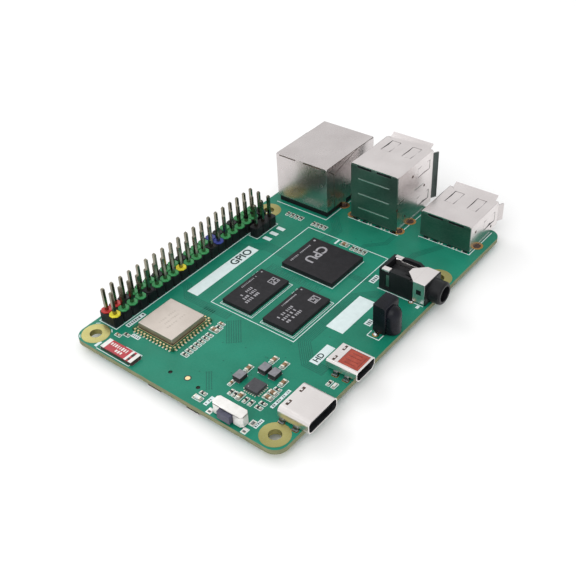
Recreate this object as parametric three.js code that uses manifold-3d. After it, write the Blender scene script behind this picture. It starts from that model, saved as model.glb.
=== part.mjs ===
// A single board computer: a populated 85 x 56 mm circuit board with its connectors, chips, header and
// button. Millimetres, +Z up. The origin is the centre of the board's underside; +X runs towards the Ethernet
// and USB ports and +Y towards the pin header. Parts on the board are placed from the board's front left
// corner, on its top face, inside the group called onBoard.
import * as THREE from "three";
import { mergeVertices } from "three/addons/utils/BufferGeometryUtils.js";
import Module from "manifold-3d";

const wasm = await Module();
wasm.setup();

// ---------------------------------------------------------------- driving dimensions

const BOARD = { length: 85, width: 56, thickness: 1.2, cornerRadius: 3 };
const MOUNT_HOLE = { inset: 3.5, spacingX: 58, spacingY: 49, radius: 1.35, padRadius: 3.1, padRise: 0.05 };
const LABEL_FIELD = { length: 12, width: 8, rise: 0.03 };

const STAND_OFF = 0.05; // solder thickness between a part and the board
const SHEET = 0.3; // pressed sheet of the large connector shells
const FIT_GAP = 0.05; // clearance between pieces that are pushed together
const LEG = { width: 1.6, top: 2, drop: 0.9, holeRadius: 1.15 }; // solder legs of the large shells
const SMALL_LEG = { width: 1, top: 1.6, holeRadius: 0.65 }; // solder legs of the micro connectors
const TAIL = { side: 0.5, drop: 0.9, holeRadius: 0.45 }; // signal tails
const ROUND = 28; // segments of the mounting holes
const BARREL = 24; // segments of the audio jack's nose and the infrared lens

const PIN = { side: 0.64, pitch: 2.54, tip: 0.3, taper: 0.55, top: 8.5, tail: 1.6, holeRadius: 0.55 };
const HEADER = { height: 2.54, notch: 0.35, margin: 0.1 };
const GPIO = { columns: 20, rows: 2, x: 8.37, y: 51.23 };
const DEBUG = { columns: 3, rows: 1, x: 51.46, y: 48.1 };

const SOC = { x: 51, y: 27.9, length: 12.2, width: 14.2, height: 1.15 };
const RAM = { length: 13.4, width: 8, height: 1, x: 33.75, rows: [33.4, 22] };
const WIFI = { x: 14.8, y: 40.85, side: 12, boardHeight: 0.7, shieldSide: 9.95, shieldTop: 2, wall: 0.2 };
const ANTENNA = { x: 2.25, y: 43.45, length: 2.9, width: 9.1, height: 0.8 };
const POWER_IC = { x: 10.75, y: 14.2, length: 3.2, width: 3.2, height: 0.8 };
const INDUCTORS = [
  { x: 11.1, y: 18.55, length: 2.3, width: 2, height: 1.15 },
  { x: 15.65, y: 15.9, length: 2.3, width: 1.9, height: 1.15 },
  { x: 15.6, y: 13.3, length: 2.3, width: 1.8, height: 1.15 },
];

const USB_WIDTH = 13.1; // outside of a USB-A shell
const USB_SINGLE = {
  mouthX: 88,
  y: 9.05,
  length: 14.6,
  height: 7.2,
  ports: [1.35],
  legs: [-10.8],
  ribs: [],
};
const USB_DUAL = {
  mouthX: 88,
  y: 27.25,
  length: 17.2,
  height: 15.4,
  ports: [1.35, 9.55],
  legs: [-16, -10.9],
  ribs: [3.5, 7.5, 11.6],
};
const USB_PORT = { height: 5.2, tongueRise: 2.7, tongue: 1.84, tongueWidth: 11.1, depth: 9.5, floor: 0.9 };
const USB_LIP = { length: 1.4, flare: 0.75, corner: 0.9 };
const USB_FINGER = { width: 2, length: 5.4, slit: 0.25, dip: 0.45, spacing: 5.9, start: -8.1, root: 0.2 };
const USB_TAILS = { y: [-3.5, -1, 1, 3.5], inset: 1.6, rowPitch: 2.6 };
const USB_BACK = { foot: 0.45, notchInner: 0.75, notchOuter: 4.7, notchDepth: 0.55 };
const USB_RIB = { width: 0.28, rise: 0.12 };

const ETHERNET = { back: 66.9, length: 20.1, y: 45.9, width: 15.4, height: 13.6, skirt: 1.6 };
const ETHERNET_FEET = { legX: 74, pegX: 77.5, pegSpacing: 11.4, pegRadius: 1.2, pegHole: 1.5, tailX: 70.5 };
const RJ45 = { width: 11.8, height: 6.8, floor: 4.3, depth: 14.2, latchWidth: 6.2, latchDrop: 1.5 };
const RJ45_COMB = { length: 10.5, width: 9.8, rise: 1.7, start: 1.5, wires: 8, wirePitch: 1.02, wire: 0.4 };
const MAGNETICS = { length: 4.6, width: 12.8, z: [2, 12.4] };
const LIGHT_PIPE = { inner: 4.2, outer: 6.6, z: [1.9, 3.6], depth: 6 };

const JACK = { x: 54.1, front: 0.6, width: 6.2, length: 11.8, height: 5.5, axis: 2.75, bore: 1.8 };
const JACK_NOSE = { radius: 2.65, length: 2.6, chamfer: 0.35 };
const JACK_SADDLE = { inset: 0.25, cheek: 2.95, tongue: 3.85, tongueWidth: 2.4 };
const JACK_SHOULDER = { length: 1.65, inset: 0.95, depth: 0.4 };
const JACK_PEGS = { y: [3.4, 9.6], radius: 0.5, holeRadius: 0.6 };

const IR = { x: 40.4, y: 4.1, width: 5.2, depth: 2.3, height: 7.3, lensRadius: 2.1, foot: 0.35 };
const IR_LEAD = { pitch: 1.905, length: 0.45, width: 0.4, drop: 1, holeRadius: 0.4 };

const HDMI = { x: 26, mouth: -1.2, length: 7.4, width: 6.3, height: 2.9, sheet: 0.25, legs: [2.4, 5] };
const HDMI_FOOT = 0.2;
const HDMI_WINDOW = { width: 4.7, y: [0.35, 5.1], thickness: 0.16, depth: 0.06, gap: 0.03 };
const HDMI_CATCH = { spacing: 3.5, y: 6.1, length: 0.9, width: 0.45 };
const HDMI_TONGUE = { width: 3.9, start: 0.9, z: [1.35, 1.95] };

const USB_C = { x: 11.2, mouth: -1.8, length: 7.3, width: 8.94, height: 3.2, sheet: 0.28, legs: [3, 6.3] };
const USB_C_CORNER = 1.1;
const USB_C_CATCH = { spacing: 4.2, y: 6.3, length: 0.9, width: 0.5 };
const USB_C_TONGUE = { width: 6.64, thickness: 0.7, recess: 0.7 };
const REAR_BLOCK = 1.9; // how far the insulator fills the back of a micro connector

const BUTTON = { x: 2.05, y: 13, length: 7.6, depth: 2.4, height: 3, sheet: 0.22, travel: 0.25 };
const PLUNGER = { width: 3.2, proud: 0.95, z: [0.7, 2.55], nib: 0.15, nibWidth: 1, nibZ: [1.1, 2.1] };
const DOME = { width: 3, z: [0.7, 2.4], rise: 0.08, thickness: 0.07, behind: 0.78, rest: 0.02 };

const SD = { x: 0.7, y: 27.3, length: 14.6, width: 14.4, height: 1.5, sheet: 0.15 };
const SD_CARD = { width: 11.2, thickness: 0.8 };
const SD_PEGS = { x: 4.25, y: [23.55, 31.15], radius: 0.42, holeRadius: 0.5 };
const SD_RAIL = { start: 3.2, offset: 5.85, width: 1 };
const SD_SLIDER = { length: 2.6, heel: 0.7, heelReach: 1.6 };
const SD_SPRING = { radius: 0.42, wire: 0.1, turns: 5, length: 4.2, gap: 0.2 };
const SD_CONTACTS = { count: 8, pitch: 1.1, shift: -0.4, length: 4, width: 0.45, thickness: 0.12, x: 10.2 };

// ---------------------------------------------------------------- solids: closed meshes joined and cut

// A BufferGeometry's closed surface as a solid that can be joined and cut.
function solidOf(geometry) {
  const bare = geometry.clone();
  bare.deleteAttribute("normal");
  bare.deleteAttribute("uv");
  const merged = mergeVertices(bare, 1e-4);
  return new wasm.Manifold(
    new wasm.Mesh({
      numProp: 3,
      vertProperties: new Float32Array(merged.attributes.position.array),
      triVerts: new Uint32Array(merged.index.array),
    }),
  );
}

function geometryOf(solid) {
  const mesh = solid.getMesh();
  const geometry = new THREE.BufferGeometry();
  geometry.setAttribute("position", new THREE.BufferAttribute(mesh.vertProperties, 3));
  geometry.setIndex(new THREE.BufferAttribute(mesh.triVerts, 1));
  const faceted = geometry.toNonIndexed();
  faceted.computeVertexNormals();
  return faceted;
}

// The first geometry with all the others joined to it.
function join(...geometries) {
  return geometryOf(geometries.map(solidOf).reduce((whole, next) => whole.add(next)));
}

// The first geometry with all the others cut away from it.
function cut(geometry, ...tools) {
  return geometryOf(tools.map(solidOf).reduce((rest, tool) => rest.subtract(tool), solidOf(geometry)));
}

// ---------------------------------------------------------------- simple shapes

// The two ends of a width about a centre: a span, or the places of two opposite walls.
function about(centre, width) {
  return [centre - width / 2, centre + width / 2];
}

// The two faces of a sheet that lies just inside a wall's outer face.
function sheetInside(wall, centre, thickness) {
  return wall > centre ? [wall - thickness, wall] : [wall, wall + thickness];
}

// A box given as its span along each axis.
function block([x0, x1], [y0, y1], [z0, z1]) {
  const box = new THREE.BoxGeometry(x1 - x0, y1 - y0, z1 - z0);
  return box.translate((x0 + x1) / 2, (y0 + y1) / 2, (z0 + z1) / 2);
}

// A box given by its centre in plan, its size and its span in height.
function slab(x, y, length, width, zSpan) {
  return block(about(x, length), about(y, width), zSpan);
}

// An upright cylinder between two heights.
function post(x, y, radius, [z0, z1], segments = 6) {
  const turned = new THREE.CylinderGeometry(radius, radius, z1 - z0, segments).rotateX(Math.PI / 2);
  return turned.translate(x, y, (z0 + z1) / 2);
}

// A round bar along Y between two places, with its own radius at each end.
function bar(x, z, [y0, y1], nearRadius, farRadius = nearRadius) {
  const turned = new THREE.CylinderGeometry(farRadius, nearRadius, y1 - y0, BARREL);
  return turned.translate(x, (y0 + y1) / 2, z);
}

// A flat outline, given as [x, y] points or a Shape, raised from z0 to z1.
function plate(outline, [z0, z1]) {
  const points = Array.isArray(outline) && outline.map(([x, y]) => new THREE.Vector2(x, y));
  const shape = points ? new THREE.Shape(points) : outline;
  const raised = new THREE.ExtrudeGeometry(shape, { depth: z1 - z0, bevelEnabled: false, curveSegments: 5 });
  return raised.translate(0, 0, z0);
}

// An outline in (y, z) drawn out along X from x0 to x1.
function alongX(outline, [x0, x1]) {
  return plate(outline, [x0, x1]).rotateX(Math.PI / 2).rotateZ(Math.PI / 2);
}

// An outline in (x, z) drawn out along Y from y0 to y1.
function alongY(outline, [y0, y1]) {
  return plate(outline, [-y1, -y0]).rotateX(Math.PI / 2);
}

function roundedRectangle(x, y, length, width, radius) {
  const [x0, x1] = about(x, length);
  const [y0, y1] = about(y, width);
  const shape = new THREE.Shape();
  shape.moveTo(x0 + radius, y0);
  shape.lineTo(x1 - radius, y0);
  shape.absarc(x1 - radius, y0 + radius, radius, -Math.PI / 2, 0);
  shape.lineTo(x1, y1 - radius);
  shape.absarc(x1 - radius, y1 - radius, radius, 0, Math.PI / 2);
  shape.lineTo(x0 + radius, y1);
  shape.absarc(x0 + radius, y1 - radius, radius, Math.PI / 2, Math.PI);
  shape.lineTo(x0, y0 + radius);
  shape.absarc(x0 + radius, y0 + radius, radius, Math.PI, 1.5 * Math.PI);
  return shape;
}

// A square pin with tapered ends, standing at x, y.
function squarePin(x, y, [z0, z1]) {
  const corner = PIN.side / Math.SQRT2;
  const small = corner * PIN.taper;
  const profile = [
    [0, z0],
    [small, z0],
    [corner, z0 + PIN.tip],
    [corner, z1 - PIN.tip],
    [small, z1],
    [0, z1],
  ].map(([radius, height]) => new THREE.Vector2(radius, height));
  return new THREE.LatheGeometry(profile, 4).rotateY(Math.PI / 4).rotateX(Math.PI / 2).translate(x, y, 0);
}

// A chip or can soldered flat to the board.
function chip({ x, y, length, width, height }) {
  return slab(x, y, length, width, [STAND_OFF, height]);
}

// ---------------------------------------------------------------- materials

function material(color, roughness, metalness) {
  return new THREE.MeshStandardMaterial({ color, roughness, metalness });
}

const MASK = material("#2a8a6c", 0.4, 0);
const MODULE_MASK = material("#215c40", 0.4, 0);
const TINNED = material("#cfc9c6", 0.25, 1);
const BLACK_PLASTIC = material("#1b1c20", 0.55, 0);
const MOULDING = material("#35333a", 0.6, 0);
const BEIGE_METAL = material("#d7cbc0", 0.45, 0.6);
const RED_PRINT = material("#b8252f", 0.4, 0);
const FERRITE = material("#77777b", 0.7, 0);
const GOLD = material("#c9a45a", 0.3, 1);
const SMOKED = material("#20222c", 0.15, 0);
const AMBER = material("#b5523a", 0.35, 0);
const SLATE = material("#4a4a5a", 0.4, 0);
const CLEAR = material("#d8e0d0", 0.2, 0);

// ---------------------------------------------------------------- the board

// Where every leg, lead and peg passes through the board: [x, y, radius], from the front left corner.
function boardHoles() {
  const holes = [];
  for (const header of [GPIO, DEBUG])
    for (const [x, y] of pinPlaces(header)) holes.push([x, y, PIN.holeRadius]);
  for (const usb of [USB_SINGLE, USB_DUAL]) {
    for (const [x, y] of usbTails(usb)) holes.push([usb.mouthX + x, usb.y + y, TAIL.holeRadius]);
    for (const x of usb.legs)
      for (const y of about(usb.y, USB_WIDTH)) holes.push([usb.mouthX + x, y, LEG.holeRadius]);
  }
  for (const [x, y] of ethernetTails()) holes.push([x, y, TAIL.holeRadius]);
  for (const y of about(ETHERNET.y, ETHERNET.width)) holes.push([ETHERNET_FEET.legX, y, LEG.holeRadius]);
  for (const y of ethernetPegs()) holes.push([ETHERNET_FEET.pegX, y, ETHERNET_FEET.pegHole]);
  for (const x of irLeadPlaces()) holes.push([x, IR.y, IR_LEAD.holeRadius]);
  for (const y of JACK_PEGS.y) holes.push([JACK.x, y, JACK_PEGS.holeRadius]);
  for (const shell of [HDMI, USB_C])
    for (const x of about(shell.x, shell.width - shell.sheet))
      for (const y of shell.legs) holes.push([x, shell.mouth + y, SMALL_LEG.holeRadius]);
  for (const y of SD_PEGS.y) holes.push([SD_PEGS.x, y, SD_PEGS.holeRadius]);
  return holes;
}

function mountHoles() {
  const { inset, spacingX, spacingY } = MOUNT_HOLE;
  return [
    [inset, inset],
    [inset + spacingX, inset],
    [inset, inset + spacingY],
    [inset + spacingX, inset + spacingY],
  ];
}

// The drilled board, with a raised plated pad round each mounting hole and a label field underneath.
function circuitBoard() {
  const { length, width, thickness, cornerRadius } = BOARD;
  const { radius, padRadius, padRise } = MOUNT_HOLE;
  const outline = roundedRectangle(length / 2, width / 2, length, width, cornerRadius);
  const pads = mountHoles().map(([x, y]) => post(x, y, padRadius, [-thickness - padRise, padRise], ROUND));
  const fieldSpan = [-thickness - LABEL_FIELD.rise, -thickness / 2];
  const field = slab(length / 2, width / 2, LABEL_FIELD.length, LABEL_FIELD.width, fieldSpan);
  const through = [-2 * thickness, thickness];
  const screwHoles = mountHoles().map(([x, y]) => post(x, y, radius, through, ROUND));
  const partHoles = boardHoles().map(([x, y, holeRadius]) => post(x, y, holeRadius, through));
  return cut(join(plate(outline, [-thickness, 0]), field, ...pads), ...screwHoles, ...partHoles);
}

// ---------------------------------------------------------------- wireless module

function wifiBoard() {
  return slab(WIFI.x, WIFI.y, WIFI.side, WIFI.side, [STAND_OFF, WIFI.boardHeight]);
}

// A pressed can, open underneath, standing on the module's board.
function wifiShield() {
  const base = WIFI.boardHeight + FIT_GAP;
  const inner = WIFI.shieldSide - 2 * WIFI.wall;
  return cut(
    slab(WIFI.x, WIFI.y, WIFI.shieldSide, WIFI.shieldSide, [base, WIFI.shieldTop]),
    slab(WIFI.x, WIFI.y, inner, inner, [0, WIFI.shieldTop - WIFI.wall]),
  );
}

// ---------------------------------------------------------------- pin headers

function pinPlaces({ columns, rows, x, y }) {
  const places = [];
  for (let column = 0; column < columns; column++)
    for (let row = 0; row < rows; row++) places.push([x + PIN.pitch * column, y + PIN.pitch * row]);
  return places;
}

// A moulded row of eight-sided cells, with a notch between neighbours, and its square pins.
function pinHeader(header) {
  const { columns, rows, x, y } = header;
  const half = PIN.pitch / 2;
  const { height, notch, margin } = HEADER;
  const y0 = y - half + margin;
  const y1 = y + PIN.pitch * (rows - 1) + half - margin;
  const outline = [];
  for (let column = 0; column < columns; column++) {
    const left = x + PIN.pitch * column - half;
    outline.push([left, y0 + notch], [left + notch, y0], [left + PIN.pitch - notch, y0]);
  }
  outline.push([x + PIN.pitch * columns - half, y0 + notch]);
  for (let column = columns - 1; column >= 0; column--) {
    const right = x + PIN.pitch * column + half;
    outline.push([right, y1 - notch], [right - notch, y1], [right - PIN.pitch + notch, y1]);
  }
  outline.push([x - half, y1 - notch]);
  const pinSpan = [-BOARD.thickness - PIN.tail, PIN.top];
  const pins = pinPlaces(header).map(([pinX, pinY]) => squarePin(pinX, pinY, pinSpan));
  return join(plate(outline, [STAND_OFF, height]), ...pins);
}

// ---------------------------------------------------------------- USB-A: mouth at x = 0, body towards -X

// The signal tails of a receptacle: one row of four for each port.
function usbTails({ length, ports }) {
  return ports.flatMap((port, row) =>
    USB_TAILS.y.map((y) => [-length + USB_TAILS.inset + USB_TAILS.rowPitch * row, y]),
  );
}

// The slots that free a spring finger on three sides, in the wall that stands between two faces.
function fingerSlot(centre) {
  const { start, length, width, slit } = USB_FINGER;
  return { along: [start, start + length], across: about(centre, width + 2 * slit) };
}

// A spring finger bent inwards from a wall whose outer face is at this place, as a profile in (x, place).
function fingerProfile(wall, inwards) {
  const { start, length, slit, dip, root } = USB_FINGER;
  const bend = start + length * 0.7;
  const end = start + length - slit;
  return [
    [start - root, 0],
    [bend, dip],
    [end, dip / 2],
    [end, dip / 2 + SHEET],
    [bend, dip + SHEET],
    [start - root, SHEET],
  ].map(([x, depth]) => [x, wall + inwards * depth]);
}

// The lip flared out from a wall at the mouth, as a profile in (x, place).
function lipProfile(wall, outwards) {
  const { length, flare } = USB_LIP;
  return [
    [-length, 0],
    [-length, -SHEET],
    [0, flare - SHEET],
    [0, flare],
  ].map(([x, rise]) => [x, wall + outwards * rise]);
}

function usbLips(height) {
  const { floor } = USB_PORT;
  const [left, right] = about(0, USB_WIDTH);
  const width = [left + USB_LIP.corner, right - USB_LIP.corner];
  const rise = [floor + USB_LIP.corner, height - USB_LIP.corner];
  return [
    alongY(lipProfile(height, 1), width),
    alongY(lipProfile(floor, -1), width),
    plate(lipProfile(right, 1), rise),
    plate(lipProfile(left, -1), rise),
  ];
}

// The folded shell: a tube open at both ends, with flared lips, legs, and spring fingers over every port.
function usbShell({ length, height, ports, legs }) {
  const walls = about(0, USB_WIDTH);
  const inside = about(0, USB_WIDTH - 2 * SHEET);
  const { floor, depth } = USB_PORT;
  const back = -length + SHEET + FIT_GAP;
  const wallFoot = { z: 0.15, front: -4.2 };
  const parts = [
    block([back, -USB_LIP.length + 0.01], walls, [floor, height]),
    block([-length, back + 1], walls, [height - SHEET, height]),
    ...usbLips(height),
  ];
  for (const wall of walls) {
    const sheet = sheetInside(wall, 0, SHEET);
    parts.push(block([back, wallFoot.front], sheet, [wallFoot.z, floor + 1]));
    const legSpan = [-BOARD.thickness - LEG.drop, LEG.top];
    for (const x of legs) parts.push(block(about(x, LEG.width), sheet, legSpan));
  }
  const hollow = block([-length - 1, 1], inside, [floor + SHEET, height - SHEET]);
  const openFloor = block([-length, -depth + FIT_GAP], inside, [0, floor + 1]);
  const slots = [];
  const fingers = [];
  for (const y of about(0, USB_FINGER.spacing)) {
    const { along, across } = fingerSlot(y);
    slots.push(block(along, across, about(height, 2)));
    fingers.push(alongY(fingerProfile(height, -1), about(y, USB_FINGER.width)));
  }
  for (const port of ports) {
    const middle = port + USB_PORT.height / 2;
    const { along, across } = fingerSlot(middle);
    for (const wall of walls) {
      slots.push(block(along, about(wall, 2), across));
      fingers.push(plate(fingerProfile(wall, -Math.sign(wall)), about(middle, USB_FINGER.width)));
    }
  }
  return join(cut(join(...parts), hollow, openFloor, ...slots), ...fingers);
}

// The moulded insulator: a block at the back, one contact tongue in each port and a shelf between two ports.
function usbInsulator({ length, height, ports }) {
  const width = USB_WIDTH - 2 * SHEET - 2 * FIT_GAP;
  const front = -USB_PORT.depth;
  const back = -length + SHEET + 2 * FIT_GAP;
  const { floor, height: portHeight, tongueRise, tongue, tongueWidth } = USB_PORT;
  const foot = { inset: 0.5, width: width - 0.8 };
  const parts = [
    block([back, front], about(0, width), [floor + SHEET + FIT_GAP, height - SHEET - FIT_GAP]),
    block([back, front - foot.inset], about(0, foot.width), [STAND_OFF, floor + 1]),
  ];
  for (const port of ports) {
    const bottom = port + tongueRise;
    parts.push(block([front - 1, -1], about(0, tongueWidth), [bottom, bottom + tongue]));
  }
  for (let i = 1; i < ports.length; i++)
    parts.push(block([front - 1, -1.2], about(0, width), [ports[i - 1] + portHeight, ports[i]]));
  for (const [x, y] of usbTails({ length, ports }))
    parts.push(slab(x, y, TAIL.side, TAIL.side, [-BOARD.thickness - TAIL.drop, 1]));
  return join(...parts);
}

// The sheet that closes the back, with two notches under the roof and ribs pressed across a tall one.
function usbBackPlate({ length, height, ribs }) {
  const { foot, notchInner, notchOuter, notchDepth } = USB_BACK;
  const top = height - SHEET - FIT_GAP;
  const face = block([-length, -length + SHEET], about(0, USB_WIDTH), [foot, top]);
  const notches = [
    [-notchOuter, -notchInner],
    [notchInner, notchOuter],
  ];
  const openings = notches.map((span) => block(about(-length, 2), span, [top - notchDepth, top + 1]));
  const ribWidth = 2 * notchOuter - 0.6;
  const ribX = [-length - USB_RIB.rise, -length + 0.1];
  const bars = ribs.map((z) => block(ribX, about(0, ribWidth), about(z, USB_RIB.width)));
  return join(cut(face, ...openings), ...bars);
}

// ---------------------------------------------------------------- Ethernet: opens towards +X

// Two staggered rows of five signal tails.
function ethernetTails() {
  const tails = [];
  for (let i = 0; i < 10; i++) {
    const x = ETHERNET_FEET.tailX + PIN.pitch * (i % 2);
    tails.push([x, ETHERNET.y + (PIN.pitch / 2) * (i - 4.5)]);
  }
  return tails;
}

function ethernetPegs() {
  return about(ETHERNET.y, ETHERNET_FEET.pegSpacing);
}

// The inside of the shield at its mouth.
function ethernetFront() {
  return ETHERNET.back + ETHERNET.length - SHEET - FIT_GAP;
}

// The mouth of the jack in (y, z), grown by a margin: a wide socket with a narrower latch channel under it.
function rj45Outline(margin) {
  const { width, height, floor, latchWidth, latchDrop } = RJ45;
  const [left, right] = about(ETHERNET.y, width + 2 * margin);
  const [latchLeft, latchRight] = about(ETHERNET.y, latchWidth + 2 * margin);
  const bottom = floor - margin;
  const top = floor + height + margin;
  const latchBottom = bottom - latchDrop;
  return [
    [latchLeft, latchBottom],
    [latchRight, latchBottom],
    [latchRight, bottom],
    [right, bottom],
    [right, top],
    [left, top],
    [left, bottom],
    [latchLeft, bottom],
  ];
}

// A light pipe's block beside the latch channel, grown by a margin and ending this far past the mouth.
function lightPipe(side, margin, past) {
  const { inner, outer, z, depth } = LIGHT_PIPE;
  const end = ETHERNET.back + ETHERNET.length;
  const middle = ETHERNET.y + (side * (inner + outer)) / 2;
  const ySpan = about(middle, outer - inner + 2 * margin);
  return block([end - depth - margin, end + past], ySpan, [z[0] - margin, z[1] + margin]);
}

// The folded edges on a side wall, as lines [x0, z0, x1, z1].
function ethernetSeams() {
  const { back, height, skirt } = ETHERNET;
  const fold = back + 3;
  const knee = height - 2.7;
  return [
    [fold, skirt - 0.5, fold, knee],
    [fold, knee, back + 13.9, height + 0.2],
    [back + 0.2, height - 0.3, fold, knee],
  ];
}

// A shallow square groove along a line on a side wall.
function groove([x0, z0, x1, z1], wall) {
  const run = Math.hypot(x1 - x0, z1 - z0);
  const [depth, width] = [0.24, 0.18];
  const tool = new THREE.BoxGeometry(run, depth, width).rotateY(-Math.atan2(z1 - z0, x1 - x0));
  return tool.translate((x0 + x1) / 2, wall, (z0 + z1) / 2);
}

// The pressed shield, open below, with its mouth, light pipe windows, folded seams and two legs.
function ethernetShield() {
  const { back, length, y, width, height, skirt } = ETHERNET;
  const front = back + length;
  const walls = about(y, width);
  const rearSlots = [[39.9, 45.2], [47.6, 52.6]];
  const inside = block([back + SHEET, front - SHEET], about(y, width - 2 * SHEET), [-1, height - SHEET]);
  const cuts = [inside, alongX(rj45Outline(0.25), about(front, 2))];
  for (const span of rearSlots) cuts.push(block([back - 1, back + 0.1], span, [height - 0.5, height - 0.22]));
  for (const wall of walls) for (const seam of ethernetSeams()) cuts.push(groove(seam, wall));
  for (const side of [-1, 1]) cuts.push(lightPipe(side, 0.15, 1));
  const legSpan = [-BOARD.thickness - LEG.drop, skirt + 1];
  const legX = about(ETHERNET_FEET.legX, LEG.width);
  const legs = walls.map((wall) => block(legX, sheetInside(wall, y, SHEET), legSpan));
  return join(cut(block([back, front], walls, [skirt, height]), ...cuts), ...legs);
}

// The moulded housing: the socket, a slot for the contact comb, a bay for the magnetics, pegs and tails.
function ethernetHousing() {
  const { back, y, width, height } = ETHERNET;
  const front = ethernetFront();
  const ceiling = RJ45.floor + RJ45.height;
  const { length: combLength, width: combWidth, rise, start } = RJ45_COMB;
  const { pegX, pegRadius } = ETHERNET_FEET;
  const wall = SHEET + FIT_GAP;
  const body = block([back + wall, front], about(y, width - 2 * wall), [STAND_OFF, height - wall]);
  const cuts = [
    alongX(rj45Outline(0), [front - RJ45.depth, front + 1]),
    block([front - start - combLength, front - start], about(y, combWidth), [ceiling - 1, ceiling + rise]),
    block([back - 1, back + MAGNETICS.length], about(y, MAGNETICS.width), MAGNETICS.z),
    lightPipe(-1, FIT_GAP, 1),
    lightPipe(1, FIT_GAP, 1),
  ];
  const pegs = ethernetPegs().map((pegY) => post(pegX, pegY, pegRadius, [-BOARD.thickness - 0.4, 1], 12));
  const tailSpan = [-BOARD.thickness - TAIL.drop, 1];
  const tails = ethernetTails().map(([x, tailY]) => slab(x, tailY, TAIL.side, TAIL.side, tailSpan));
  return join(cut(body, ...cuts), ...pegs, ...tails);
}

// The comb that holds the eight spring wires, which slope down into the socket from its ceiling.
function ethernetContacts() {
  const front = ethernetFront();
  const ceiling = RJ45.floor + RJ45.height;
  const { length, width, rise, start, wires, wirePitch, wire } = RJ45_COMB;
  const combEnd = front - start - length;
  const comb = block(
    [combEnd + FIT_GAP, front - start - 0.1],
    about(ETHERNET.y, width - 0.2),
    [ceiling + 0.2, ceiling + rise - 0.1],
  );
  const root = ceiling + 0.4;
  const profile = [
    [combEnd + 0.2, root],
    [front - 10, ceiling - 3.2],
    [front - 3, root],
    [front - 3.4, root],
    [front - 9.9, ceiling - 2.5],
    [combEnd + 0.5, root],
  ];
  const springs = [];
  for (let i = 0; i < wires; i++) {
    const y = ETHERNET.y + wirePitch * (i - (wires - 1) / 2);
    springs.push(alongY(profile, about(y, wire)));
  }
  return join(comb, ...springs);
}

function ethernetMagnetics() {
  const { back, y } = ETHERNET;
  const [z0, z1] = MAGNETICS.z;
  const xSpan = [back + SHEET + 0.1, back + MAGNETICS.length - 0.1];
  return block(xSpan, about(y, MAGNETICS.width - 0.2), [z0 + 0.1, z1 - 0.1]);
}

// ---------------------------------------------------------------- audio jack: opens towards -Y

// The moulded body with its round nose, its bore, an open well behind and seats for the metal pieces.
function audioHousing() {
  const { x, front, width, length, height, axis, bore } = JACK;
  const { radius: noseRadius, length: noseLength, chamfer } = JACK_NOSE;
  const back = front + length;
  const walls = about(x, width);
  const noseEnd = front - noseLength;
  const body = block(walls, [front, back], [STAND_OFF, height]);
  const nose = bar(x, axis, [noseEnd, front + 0.5], noseRadius);
  const tip = bar(x, axis, [noseEnd - chamfer, noseEnd], noseRadius - chamfer, noseRadius);
  const saddleEnd = front + JACK_SADDLE.inset;
  const shoulderEnd = back - JACK_SHOULDER.inset;
  const shoulderSpan = [shoulderEnd - JACK_SHOULDER.length, shoulderEnd];
  const above = height + 1;
  const cuts = [
    bar(x, axis, [noseEnd - 1.2, back - 1.2], bore),
    block(about(x, width - 1.6), [front + 3.6, back - 0.9], [0.8, above]),
    block(about(x, width + 2), [saddleEnd, saddleEnd + JACK_SADDLE.tongue], [height - SHEET, above]),
  ];
  for (const wall of walls) {
    cuts.push(block(about(wall, 2 * SHEET), [saddleEnd, saddleEnd + JACK_SADDLE.cheek + 0.1], [-1, above]));
    cuts.push(block(about(wall, 1.8), shoulderSpan, [height - JACK_SHOULDER.depth, above]));
    cuts.push(block(about(wall, 0.4), [back - 2.6, back - 1.6], [0.9, height - 1.1]));
  }
  const pegs = JACK_PEGS.y.map((y) => post(x, y, JACK_PEGS.radius, [-BOARD.thickness - 0.3, 1]));
  return join(cut(join(body, nose, tip), ...cuts), ...pegs);
}

// The sleeve contact: a saddle of bright sheet over the front of the jack, narrowing to a tongue at the back.
function audioSleevePlate() {
  const { x, front, width, height } = JACK;
  const thickness = SHEET - 0.02;
  const start = front + JACK_SADDLE.inset + FIT_GAP;
  const cheekEnd = start + JACK_SADDLE.cheek - FIT_GAP;
  const tongueEnd = front + JACK_SADDLE.inset + JACK_SADDLE.tongue;
  const [left, right] = about(x, width);
  const [tongueLeft, tongueRight] = about(x, JACK_SADDLE.tongueWidth);
  const outline = [
    [left, start],
    [right, start],
    [right, cheekEnd],
    [tongueRight, tongueEnd + 0.9],
    [tongueLeft, tongueEnd + 0.9],
    [left, cheekEnd],
  ];
  const roof = plate(outline, [height - thickness, height]);
  const cheeks = [left, right].map((wall) =>
    block(sheetInside(wall, x, thickness), [start, cheekEnd], [0.3, height]),
  );
  const window = slab(x, (start + cheekEnd) / 2, width + 2, 0.9, [height - 3, height - 1.9]);
  return cut(join(roof, ...cheeks), window);
}

// A flat spring along one side of the well, with its bright shoulder showing at the back of the jack.
function audioContact(side) {
  const { x, front, width, length, height } = JACK;
  const back = front + length;
  const wall = width / 2 - 0.85;
  const fromWall = (near, far) => [x + side * (wall - near), x + side * (wall - far)].sort((a, b) => a - b);
  const shoulderSpan = [back - 2.5, back - 1.05];
  const nose = [front + 5.2, front + 6.6];
  return join(
    block(fromWall(0.02, 0.2), [nose[0], back - 1], [1.1, height - 0.5]),
    block(fromWall(0.02, 0.2), shoulderSpan, [height - 1, height - 0.1]),
    block(fromWall(-0.8, 0.2), shoulderSpan, [height - 0.38, height - 0.08]),
    block(fromWall(0.02, 0.75), nose, [2.2, 3.4]),
  );
}

// ---------------------------------------------------------------- infrared receiver: looks towards -Y

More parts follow.
